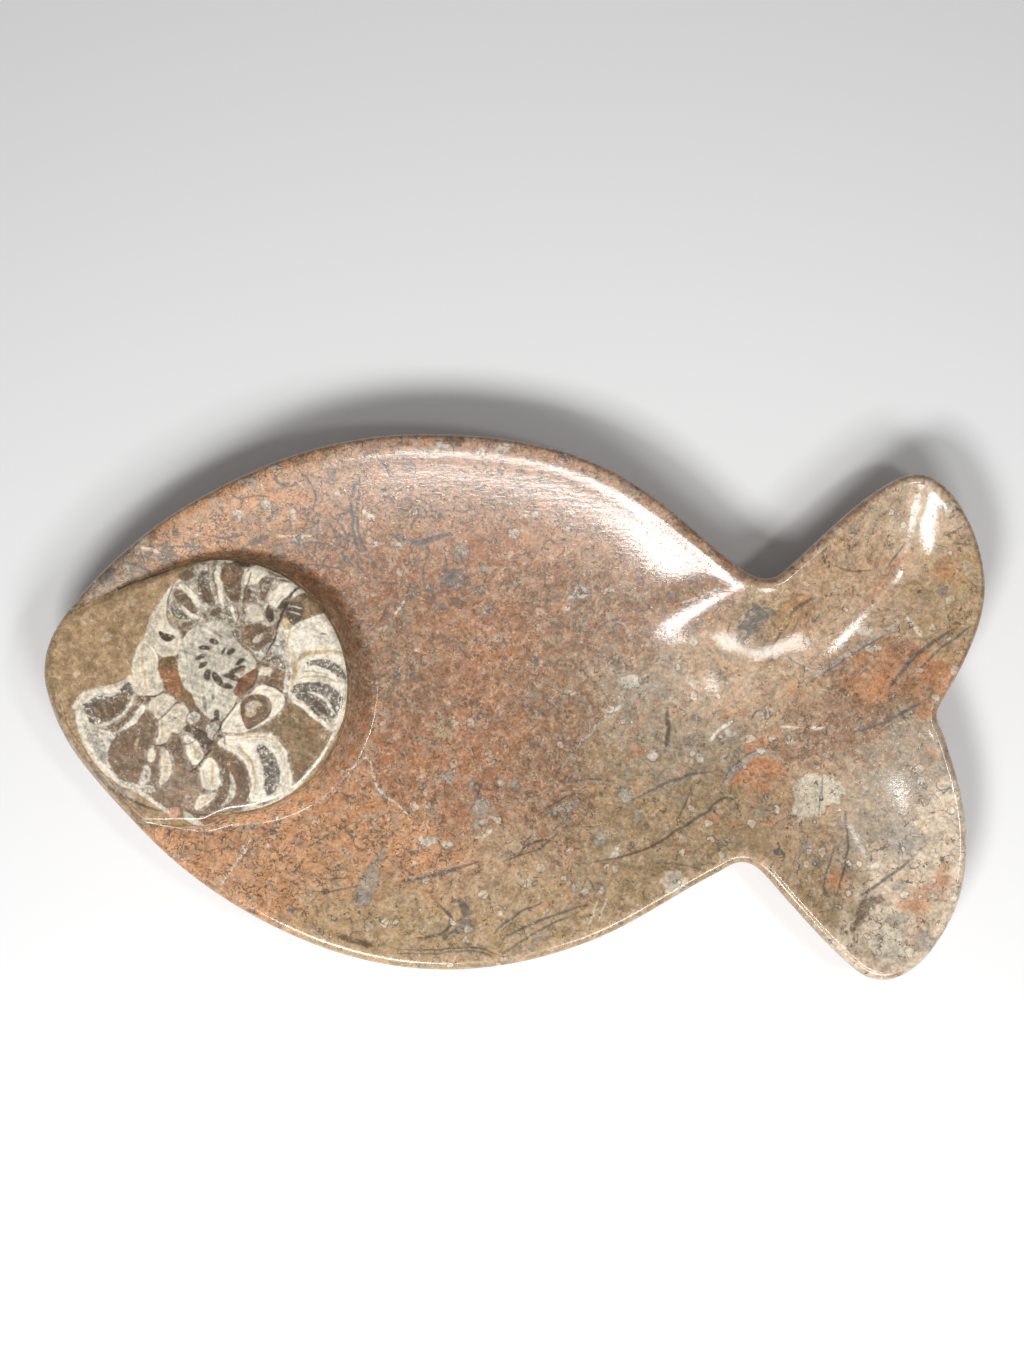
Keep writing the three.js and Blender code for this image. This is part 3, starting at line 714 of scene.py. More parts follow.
def eased_height(plan):
    """Height of the carved top with its valleys rounded."""
    low = outline.min(0) - EASING_MARGIN * EASING_PITCH
    high = outline.max(0) + EASING_MARGIN * EASING_PITCH
    xs = np.arange(low[0], high[0] + EASING_PITCH, EASING_PITCH)
    ys = np.arange(low[1], high[1] + EASING_PITCH, EASING_PITCH)
    across, up = np.meshgrid(xs, ys)
    field = top_height(np.stack((across.ravel(), up.ravel()), axis=1)).reshape(across.shape)
    for _ in range(EASING_ROUNDS):
        for axis in (0, 1):
            field = (np.roll(field, 1, axis) + 2 * field + np.roll(field, -1, axis)) / 4
    cell = (plan - low) / EASING_PITCH
    column, line = np.floor(cell).astype(int).T
    easy = np.zeros(len(plan))
    for i, share_x in enumerate(spline_shares(cell[:, 0] - column)):
        for j, share_y in enumerate(spline_shares(cell[:, 1] - line)):
            easy += share_x * share_y * field[line + j - 1, column + i - 1]
    height = top_height(plan)
    share = smoothstep(line_distance(plan, outline, True), *EASED_FROM)
    share *= smoothstep(seam_side(plan), *EASED_OFF_WALL)
    return height + share * (easy - height)


def spline_shares(t):
    """How much each of four values in a row gives to a smooth curve between the middle two."""
    s = 1 - t
    return s**3 / 6, (3 * t**3 - 6 * t**2 + 4) / 6, (3 * s**3 - 6 * s**2 + 4) / 6, t**3 / 6


def carved_stone():
    """The whole closed stone, as it is before the block is let in."""
    rings, spread = top_points()
    count = len(outline)
    plan = np.concatenate(rings + [spread])
    borders = [(i, (i + 1) % count) for i in range(count)]
    faces = plan_triangles(plan, borders)
    corners = [np.column_stack((plan, eased_height(plan)))]
    rim_height = corners[0][:count, 2]
    upper = np.arange(count)
    total = len(plan)
    for degrees in SIDE_ANGLES:
        angle = math.radians(degrees)
        ring = shifted(outline, FOOT_INSET * (1 - math.cos(angle)), True)
        corners.append(np.column_stack((ring, rim_height * (1 - math.sin(angle)))))
        lower = np.arange(total, total + count)
        total += count
        for i in range(count):
            j = (i + 1) % count
            faces.append([upper[i], upper[j], lower[j], lower[i]])
        upper = lower
    foot = corners[-1][:, :2]
    faces += [[upper[i] for i in reversed(face)] for face in plan_triangles(foot, borders)]
    return mesh_object("carved_stone", np.concatenate(corners), faces)


def only(piece):
    """Selects one piece and nothing else."""
    bpy.ops.object.select_all(action="DESELECT")
    piece.select_set(True)
    bpy.context.view_layer.objects.active = piece


def prism(plan, bottom):
    """An upright cutter over a plan outline, from a height to above the rim."""
    cutter = mesh_object("cutter", np.column_stack((plan, np.full(len(plan), bottom))), [range(len(plan))])
    only(cutter)
    bpy.ops.object.mode_set(mode="EDIT")
    bpy.ops.mesh.select_all(action="SELECT")
    bpy.ops.mesh.extrude_region_move(TRANSFORM_OT_translate={"value": (0, 0, (CUT_TOP - bottom) * MM)})
    bpy.ops.mesh.select_all(action="SELECT")
    bpy.ops.mesh.quads_convert_to_tris()
    bpy.ops.mesh.normals_make_consistent(inside=False)
    bpy.ops.object.mode_set(mode="OBJECT")
    return cutter


def inside_seam(margin, bottom):
    """A cutter over the block's plan, grown past the seam by a margin."""
    return prism(np.concatenate((shifted(seam, -margin, False), BEYOND_NOSE)), bottom)


def patch_space(margin, bottom):
    """A cutter over the wider patch of filler, grown by a margin."""
    return prism(shifted(np.array(PATCH), -margin, True), bottom)


def carve(piece, cutter, operation):
    """Cuts a piece with a cutter, and throws the cutter away."""
    only(piece)
    cut = piece.modifiers.new("cut", "BOOLEAN")
    cut.operation = operation
    cut.solver = "MANIFOLD"
    cut.object = cutter
    bpy.ops.object.modifier_apply(modifier=cut.name)
    bpy.data.objects.remove(cutter)


def copy_of(piece, name):
    """A second piece with the same mesh, under its own name."""
    double = piece.copy()
    double.data = piece.data.copy()
    double.name = name
    double.data.name = name
    bpy.context.scene.collection.objects.link(double)
    return double


CREASE_ANGLE = 34


def smooth(piece):
    """Shades a piece smoothly, with its sharp edges kept."""
    piece.data.materials.clear()
    only(piece)
    bpy.ops.object.shade_smooth_by_angle(angle=math.radians(CREASE_ANGLE))


def upright(piece):
    """How far each point of a piece faces up, from -1 to 1."""
    facing = np.empty(len(piece.data.vertices) * 3, np.float32)
    piece.data.vertex_normals.foreach_get("vector", facing)
    return facing.reshape(-1, 3)[:, 2].astype(float)


# Tones of the red ground, where worm lines are common
ROSY = ("salmon", "rose", "ember", "red_brown", "brown")

# Zones drift by a broad and a finer sway, and each pulls on its ground most strongly at its centre
ZONE_SWAY = (2.6, 17, 5)
ZONE_CRUMBLE = (1.4, 5, 7)
ZONE_FALL = 1.6
DISTANT_PULL = 1e-6
MOTTLE_STEP = (0.1, 1.3)

# Waves that vary the marks: wavelength and seed
RAGGED = (1.8, 33)
PATCHY = (1.7, 30)
PATCHY_SHARE = {"middle": 0.95, "swing": 0.2, "least": 0.6}
# How the painted shade on the back's rim varies along it
RIM_SHADE_SHARE = {"middle": 0.7, "swing": 0.5, "least": 0}

# How far up the stone faces where its top, and its rounded rim, begin and end
TOP_FACING = (0.15, 0.6)
RIM_FACING = (0.2, 0.55)
FLAT_FACING = (0.86, 0.97)
# Width of the rim band that gets painted shade, and the y beyond which it lies: the fish's back, away from
# the lamps
RIM_WIDTH = 2
RIM_SHADE_FROM = 5

# Marks: how ragged they are, half widths of their dark edges, and sizes from which they have more parts
AREA_RAGGED = 0.35
AREA_EDGE = 0.15
ROUND_RAGGED = 0.12
RAGGED_SIZE = 3
ROUND_EDGE = 0.16
RINGED_FROM = 0.65
LARGE_FROM = 2
INNER_RING = {"half": 0.2, "inside": 0.9}
RUST_STEP = (-0.8, 0.9)
LINE_WIDTH = 0.85


def ground_colours(spots, drift):
    """The colour of the ground at each spot, and how much of it is red."""
    colour = np.zeros((len(spots), 3))
    weight = np.full(len(spots), TINY)
    rosy = np.zeros(len(spots))
    for x, y, reach, tone in ZONES:
        away = np.hypot(*(spots + drift - (x, y)).T) / reach
        pull = np.exp(-ZONE_FALL * away**2) + DISTANT_PULL / (1 + away**2)
        colour += pull[:, None] * linear(TONES[tone])
        weight += pull
        rosy += pull * (tone in ROSY)
    colour /= weight[:, None]
    every = np.arange(len(spots))
    for tone, wavelength, seed, share in MOTTLES:
        tint = smoothstep(ripple(spots + drift, wavelength, seed), *MOTTLE_STEP)
        mix_in(colour, every, TONES[tone], share * tint)
    return colour, rosy / weight


def paint_marks(colour, spots, on_top, ragged):
    """Lays the cut shells over the ground: areas, then rounds, then edges."""
    moved = wavering(spots, MARK_SEED)
    lined = spots + LINE_WAVER * (moved - spots)
    patchy = on_top * uneven(ripple(spots, *PATCHY), **PATCHY_SHARE)
    for tone, corners in SHELL_AREAS:
        ids = near(spots, corners, MARK_REACH)
        depth = area_depth(moved[ids], corners) + AREA_RAGGED * ragged[ids]
        mix_in(colour, ids, TONES[tone], SHARES["area"] * cover(depth) * patchy[ids])
        mix_in(colour, ids, TONES["shadow"], SHARES["area edge"] * band(depth, AREA_EDGE) * patchy[ids])
    for tone, x, y, across, up in SHELL_ROUNDS:
        ids = near(spots, [(x - across, y - up), (x + across, y + up)], MARK_REACH)
        size = min(across, up)
        depth = round_depth(moved[ids], x, y, across, up)
        depth += ROUND_RAGGED * min(size, RAGGED_SIZE) * ragged[ids]
        if tone == "rust":
            mix_in(colour, ids, TONES[tone], SHARES["rust"] * smoothstep(depth, *RUST_STEP) * patchy[ids])
            continue
        mix_in(colour, ids, TONES[tone], SHARES["round"] * cover(depth) * patchy[ids])
        if tone in ("chalk", "pebble") and size > RINGED_FROM:
            edge = SHARES["round edge"] * band(depth, ROUND_EDGE)
            core = SHARES["round core"] * cover(depth - 0.5 * size)
            mix_in(colour, ids, TONES["slate"], edge * patchy[ids])
            mix_in(colour, ids, TONES["pebble"], core * patchy[ids])
        if size > LARGE_FROM:
            inner = SHARES["inner ring"] * band(depth, **INNER_RING)
            mix_in(colour, ids, TONES["pebble"], inner * patchy[ids])
    for tone, width, points in SHELL_LINES:
        ids = near(spots, points, MARK_REACH)
        share = line_cover(lined[ids], points, LINE_WIDTH * width)
        mix_in(colour, ids, TONES[tone], SHARES["line"] * share * on_top[ids])


def paint_slab(piece):
    """Paints the ground, its marks, the side, and painted shade on the rounded rim along the fish's back,
    which faces away from the lamps.
    """
    spots = points_of(piece)[:, :2]
    every = np.arange(len(spots))
    drift = sway(spots, *ZONE_SWAY) + sway(spots, *ZONE_CRUMBLE)
    colour, rosy = ground_colours(spots, drift)
    facing = upright(piece)
    on_top = smoothstep(facing, *TOP_FACING)
    ragged = ripple(spots, *RAGGED)
    paint_marks(colour, spots, on_top, ragged)
    mix_in(colour, every, TONES["side"], SHARES["side"] * (1 - on_top))
    # Painted shade: the rounded rim along the fish's back, the side facing away from the lamps, is darkened
    # brown
    curved = smoothstep(facing, *RIM_FACING) * (1 - smoothstep(facing, *FLAT_FACING))
    at_rim = line_distance(spots, outline, True) < RIM_WIDTH
    shaded_rim = curved * at_rim * (spots[:, 1] > RIM_SHADE_FROM)
    mix_in(colour, every, TONES["rim_shade"], SHARES["rim"] * shaded_rim * uneven(ragged, **RIM_SHADE_SHARE))
    store(piece, "paint", colour)
    store(piece, "worms", rosy)


def add_node(tree, kind, inputs=None, **settings):
    """One step of a finish, with its settings, and its inputs set or linked."""
    node = tree.nodes.new(kind)
    for name, value in settings.items():
        setattr(node, name, value)
    for key, value in (inputs or {}).items():
        socket = node.inputs[key]
        if isinstance(value, bpy.types.NodeSocket):
            tree.links.new(value, socket)
        else:
            socket.default_value = value
    return node


def new_group(name, takes, gives):
    """A group of steps that finishes share, with its sockets and its two ends."""
    group = bpy.data.node_groups.new(name, "ShaderNodeTree")
    for socket, kind in takes:
        group.interface.new_socket(socket, in_out="INPUT", socket_type=kind)
    for socket, kind in gives:
        group.interface.new_socket(socket, in_out="OUTPUT", socket_type=kind)
    start = group.nodes.new("NodeGroupInput")
    end = group.nodes.new("NodeGroupOutput")
    return group, start, end


def noise(tree, place, wavelength, detail=2.0, roughness=0.5, distortion=0.0):
    """Noise whose features are about one wavelength across, in millimetres."""
    inputs = {
        "Vector": place, "Scale": 1 / wavelength, "Detail": detail, "Roughness": roughness,
        "Distortion": distortion,
    }
    return add_node(tree, "ShaderNodeTexNoise", inputs).outputs["Fac"]


def ramp(tree, value, low, high, out_low=0.0, out_high=1.0):
    """A value eased from one end of a range to the other."""
    inputs = {"Value": value, "From Min": low, "From Max": high, "To Min": out_low, "To Max": out_high}
    return add_node(tree, "ShaderNodeMapRange", inputs, interpolation_type="SMOOTHSTEP").outputs["Result"]


def maths(tree, operation, a, b=0.0):
    """The result of one sum of a finish."""
    return add_node(tree, "ShaderNodeMath", {0: a, 1: b}, operation=operation).outputs[0]


def product(tree, *values):
    """Several values multiplied."""
    total = values[0]
    for value in values[1:]:
        total = maths(tree, "MULTIPLY", total, value)
    return total


def blend(tree, share, under, over):
    """One colour laid over another."""
    node = add_node(tree, "ShaderNodeMix", {0: share, 6: under, 7: over}, data_type="RGBA")
    return node.outputs[2]


def tone_value(tone):
    """A tone in linear light, with full cover."""
    return (*linear(tone), 1)


LINE_CORE = 0.4


def thin_line(tree, value, half):
    """A line where a noise passes its middle value."""
    distance = maths(tree, "ABSOLUTE", maths(tree, "SUBTRACT", value, 0.5))
    return ramp(tree, distance, half * LINE_CORE, half, 1.0, 0.0)


# Noises: wavelength, detail, roughness and distortion
NOISES = {
    "fine": (0.8, 3.0, 0.6, 0.0),
    "cloud": (2.6, 3.0, 0.55, 0.3),
    "broad": (7.0, 2.0, 0.5, 0.5),
    "speck": (0.62, 1.0, 0.5, 0.9),
    "shred": (2.3, 1.5, 0.5, 1.3),
    "pit": (0.9, 2.0, 0.6, 0.0),
    "wiping": (0.9, 2.0, 0.5, 0.0),
    "grey patch": (4.5, 2.0, 0.5, 0.0),
    "grey worm": (3.2, 1.5, 0.5, 0.7),
    "dark patch": (2.4, 2.0, 0.5, 0.0),
    "dark worm": (1.5, 1.5, 0.5, 0.5),
    "stem edge": (1.6, 1.0, 0.5, 0.0),
}

# Ramps: the two ends that a value is eased between, and what it becomes at them
RAMPS = {
    "fine light": (0.36, 0.64, -0.19, 0.17),
    "cloud light": (0.34, 0.66, -0.18, 0.16),
    "clusters": (0.4, 0.62, 0.15, 1.0),
    "specks": (0.6, 0.68),
    "flecks": (0.38, 0.3),
    "fleck patches": (0.42, 0.6),
    "pale shreds": (0.61, 0.66),
    "grey shreds": (0.39, 0.34),
    "pits": (0.64, 0.72),
    "dull": (0.35, 0.7),
    "grey worms": (0.54, 0.63),
    "dark worms": (0.54, 0.62),
    "stem radius": (0.0, 1.0, 0.08, 0.34),
    "stem edge": (0.3, 0.7, -0.08, 0.08),
    "chosen stems": (0.74, 1.1),
    "stem disc": (-0.02, 0.07),
    "stem ring": (0.015, 0.05, 1.0, 0.0),
    "specks in red": (0.1, 0.9, 0.35, 0.8),
}

# How strongly each detail of the grain is seen
GRAIN_SHARES = {
    "flecks": 0.5,
    "pale shreds": 0.28,
    "grey shreds": 0.35,
    "wiping": 0.8,
    "disc": 0.55,
    "ring": 0.6,
    "grey worms": 0.85,
    "dark worms": 0.9,
}
WIPING_TURN = -38
WIPING_STRETCH = (0.14, 1, 1)
WORM_HALVES = {"grey": 0.028, "dark": 0.032}
WORM_CROWDING = 0.1
STEM_PITCH = 3.4
STEM_SHUFFLE = 0.9
STEM_FLATTENING = (1, 1, 0.6)
STEM_CROWDING = 0.3

# Grain: the sandy light and dark of polished limestone, with clusters of dark specks and pale flecks, and
# the tiny pits and wiping marks that the polish leaves
grain, grain_in, grain_out = new_group(
    "limestone_grain",
    [("Place", "NodeSocketVector"), ("Colour", "NodeSocketColor"), ("Strength", "NodeSocketFloat"),
     ("Specks", "NodeSocketFloat")],
    [("Colour", "NodeSocketColor"), ("Height", "NodeSocketFloat"), ("Gloss loss", "NodeSocketFloat")],
)
spot_place = grain_in.outputs["Place"]
speck_share = grain_in.outputs["Specks"]
fine_noise = noise(grain, spot_place, *NOISES["fine"])
cloud_noise = noise(grain, spot_place, *NOISES["cloud"])
broad_noise = noise(grain, spot_place, *NOISES["broad"])
fine_light = ramp(grain, fine_noise, *RAMPS["fine light"])
cloud_light = ramp(grain, cloud_noise, *RAMPS["cloud light"])
light = product(grain, maths(grain, "ADD", fine_light, cloud_light), grain_in.outputs["Strength"])
brightness = maths(grain, "ADD", light, 1.0)
lit = add_node(grain, "ShaderNodeVectorMath", {0: grain_in.outputs["Colour"], "Scale": brightness},
               operation="SCALE")
speck_noise = noise(grain, spot_place, *NOISES["speck"])
clusters = ramp(grain, broad_noise, *RAMPS["clusters"])
specks = product(grain, ramp(grain, speck_noise, *RAMPS["specks"]), clusters, speck_share)
fleck_shapes = ramp(grain, speck_noise, *RAMPS["flecks"])
fleck_patches = ramp(grain, cloud_noise, *RAMPS["fleck patches"])
flecks = product(grain, fleck_shapes, fleck_patches, GRAIN_SHARES["flecks"])
shred_noise = noise(grain, spot_place, *NOISES["shred"])
pale_shreds = product(grain, ramp(grain, shred_noise, *RAMPS["pale shreds"]), GRAIN_SHARES["pale shreds"])
grey_shapes = ramp(grain, shred_noise, *RAMPS["grey shreds"])
grey_shreds = product(grain, grey_shapes, speck_share, GRAIN_SHARES["grey shreds"])
speckled = lit.outputs[0]
for share, tone in ((pale_shreds, "shred"), (grey_shreds, "pebble"), (specks, "umber"), (flecks, "chalk")):
    speckled = blend(grain, share, speckled, tone_value(TONES[tone]))
pits = ramp(grain, noise(grain, spot_place, *NOISES["pit"]), *RAMPS["pits"])
wiping_inputs = {"Vector": spot_place, "Rotation": (0, 0, math.radians(WIPING_TURN)), "Scale": WIPING_STRETCH}
wiped_place = add_node(grain, "ShaderNodeMapping", wiping_inputs)
wiping = noise(grain, wiped_place.outputs[0], *NOISES["wiping"])
wiped = maths(grain, "MULTIPLY", wiping, GRAIN_SHARES["wiping"])
relief = maths(grain, "ADD", wiped, maths(grain, "SUBTRACT", fine_noise, pits))
grain.links.new(speckled, grain_out.inputs["Colour"])
grain.links.new(relief, grain_out.inputs["Height"])
grain.links.new(ramp(grain, cloud_noise, *RAMPS["dull"]), grain_out.inputs["Gloss loss"])

# Worm lines: thin wandering lines left by tubes and shell edges, in patches, grey ones and finer dark ones
worms, worms_in, worms_out = new_group(
    "worm_lines",
    [("Place", "NodeSocketVector"), ("Density", "NodeSocketFloat")],
    [("Grey", "NodeSocketFloat"), ("Dark", "NodeSocketFloat")],
)
worm_place = worms_in.outputs["Place"]
crowding = maths(worms, "MULTIPLY", worms_in.outputs["Density"], WORM_CROWDING)
for shade in ("grey", "dark"):
    patches = maths(worms, "ADD", noise(worms, worm_place, *NOISES[shade + " patch"]), crowding)
    wander = noise(worms, worm_place, *NOISES[shade + " worm"])
    lines = thin_line(worms, wander, WORM_HALVES[shade])
    share = product(worms, lines, ramp(worms, patches, *RAMPS[shade + " worms"]))
    worms.links.new(share, worms_out.inputs[shade.capitalize()])

# Stems: small round cuts through sea-lily stems, pale with a darker ring
stems, stems_in, stems_out = new_group(
    "stem_rounds",
    [("Place", "NodeSocketVector"), ("Density", "NodeSocketFloat")],
    [("Disc", "NodeSocketFloat"), ("Ring", "NodeSocketFloat")],
)
stem_place = stems_in.outputs["Place"]
bent = noise(stems, stem_place, *NOISES["stem edge"])
flat_place = add_node(stems, "ShaderNodeVectorMath", {0: stem_place, 1: STEM_FLATTENING},
                      operation="MULTIPLY").outputs[0]
cell_inputs = {"Vector": flat_place, "Scale": 1 / STEM_PITCH, "Randomness": STEM_SHUFFLE}
cells = add_node(stems, "ShaderNodeTexVoronoi", cell_inputs)
cell_values = add_node(stems, "ShaderNodeSeparateColor", {0: cells.outputs["Color"]})
stem_radius = ramp(stems, cell_values.outputs[0], *RAMPS["stem radius"])
wobble = ramp(stems, bent, *RAMPS["stem edge"])
reach = maths(stems, "ADD", maths(stems, "SUBTRACT", stem_radius, cells.outputs["Distance"]), wobble)
likely = maths(stems, "MULTIPLY", stems_in.outputs["Density"], STEM_CROWDING)
chosen = ramp(stems, maths(stems, "ADD", cell_values.outputs[1], likely), *RAMPS["chosen stems"])
disc = product(stems, ramp(stems, reach, *RAMPS["stem disc"]), chosen)
ring = product(stems, ramp(stems, maths(stems, "ABSOLUTE", reach), *RAMPS["stem ring"]), chosen)
stems.links.new(disc, stems_out.inputs["Disc"])
stems.links.new(ring, stems_out.inputs["Ring"])


PLACE_IN_MM = (1 / MM, 1 / MM, 1 / MM)

# The polish: how it shines, and how deep its pits and wiping marks are in metres
GLOSS = {"Specular IOR Level": 0.35, "Coat Weight": 0.8, "Coat Roughness": 0.12}
RELIEF = {"Strength": 0.22, "Distance": 0.00008}
DULLING = 0.1


def use_group(tree, group, **inputs):
    """What a group of steps gives, with its inputs set or linked."""
    return add_node(tree, "ShaderNodeGroup", inputs, node_tree=group).outputs


def read_paint(tree, name, output):
    """What a piece keeps for each of its points."""
    return add_node(tree, "ShaderNodeAttribute", attribute_name=name).outputs[output]


def painted_stone(name):
    """A material that reads a piece's painted colours, with its tree and the place in millimetres."""
    material = bpy.data.materials.new(name)
    material.use_nodes = True
    tree = material.node_tree
    corner = add_node(tree, "ShaderNodeTexCoord").outputs["Object"]
    place = add_node(tree, "ShaderNodeMapping", {"Vector": corner, "Scale": PLACE_IN_MM}).outputs[0]
    return material, tree, place, read_paint(tree, "paint", "Color")


def polish(tree, place, colour, strength, specks, roughness):
    """The sandy grain, the polish and its tiny pits, over a colour."""
    surface = tree.nodes["Principled BSDF"]
    sand = use_group(tree, grain, Place=place, Colour=colour, Strength=strength, Specks=specks)
    tree.links.new(sand["Colour"], surface.inputs["Base Color"])
    dull = ramp(tree, sand["Gloss loss"], 0.0, 1.0, roughness, roughness + DULLING)
    tree.links.new(dull, surface.inputs["Roughness"])
    for socket, value in GLOSS.items():
        surface.inputs[socket].default_value = value
    bump = add_node(tree, "ShaderNodeBump", {**RELIEF, "Height": sand["Height"]})
    tree.links.new(bump.outputs["Normal"], surface.inputs["Normal"])
    tree.links.new(bump.outputs["Normal"], surface.inputs["Coat Normal"])


def slab_material():
    """Polished fossil limestone over the slab's painted colours."""
    material, tree, place, colour = painted_stone("fossil_limestone")
    rosy = read_paint(tree, "worms", "Fac")
    discs = use_group(tree, stems, Place=place, Density=maths(tree, "SUBTRACT", 1.0, rosy))
    lines = use_group(tree, worms, Place=place, Density=rosy)
    for source, kind, tone in (
        (discs["Disc"], "disc", "chalk"),
        (discs["Ring"], "ring", "slate"),
        (lines["Grey"], "grey worms", "slate"),
        (lines["Dark"], "dark worms", "umber"),
    ):
        share = product(tree, source, GRAIN_SHARES[kind])
        colour = blend(tree, share, colour, tone_value(TONES[tone]))
    specks = ramp(tree, rosy, *RAMPS["specks in red"])
    polish(tree, place, colour, strength=1.0, specks=specks, roughness=0.42)
    return material


# Half the filler's width, and the hair of air that keeps the pieces from touching
HALF_FILLER = 0.4
GAP = 0.05

carved = carved_stone()
slab = copy_of(carved, "slab_stone")
carve(slab, inside_seam(HALF_FILLER + GAP, SEAT_HEIGHT), "DIFFERENCE")
carve(slab, patch_space(GAP, SEAT_HEIGHT), "DIFFERENCE")
smooth(slab)
paint_slab(slab)
slab.data.materials.append(slab_material())
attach(slab, "root")
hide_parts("slab")

# The fossil block
# A piece of darker limestone that holds a coiled goniatite, sawn and ground flush with the rim. It stands
# in the slab's seat, makes the nose and the round raised eye, and is polished with the rest.
BLOCK_TONES = {
    "matrix": (166, 137, 101),
    "matrix_dark": (142, 116, 84),
    "matrix_dot": (186, 160, 130),
    "frost": (200, 192, 176),
    "cream": (214, 202, 180),
    "calcite": (226, 216, 197),
    "stripe": (196, 170, 130),
    "crystal": (128, 120, 108),
    "clear": (84, 74, 64),
    "brown": (113, 92, 70),
    "umber": (84, 68, 54),
    "bister": (126, 104, 82),
    "rosewood": (147, 125, 103),
    "olive": (138, 114, 82),
    "amber": (146, 98, 60),
    "gold": (122, 94, 60),
    "dusk": (88, 75, 61),
    "resin": (140, 94, 64),
    "lens": (70, 57, 46),
    "shell": (208, 199, 180),
    "ribs": (176, 164, 144),
    "crack": (62, 50, 40),
    "ash": (166, 160, 148),
}

# The coiled shell's own edge in the block. What lies outside it is plain limestone.
COIL = [
    (-80.5, 30.5), (-83.5, 27.2), (-86, 23.5), (-87.5, 20), (-88.5, 17), (-89, 13.5), (-90, 10), (-91, 8),
    (-93.5, 6.5), (-96, 5.2), (-100, 4.8), (-103, 4), (-105.5, 1), (-104.5, -4.5), (-102, -9),
    (-99.5, -13), (-96, -16.5), (-92, -19.5), (-88, -21.5), (-84, -25), (-78, -27.5), (-70, -26.5),
    (-60, -25), (-50, -18), (-43, -8), (-39, 3), (-39.5, 12), (-43, 20.5), (-49.5, 28.8), (-58, 33.6),
    (-66, 36.2), (-74, 35.5),
]

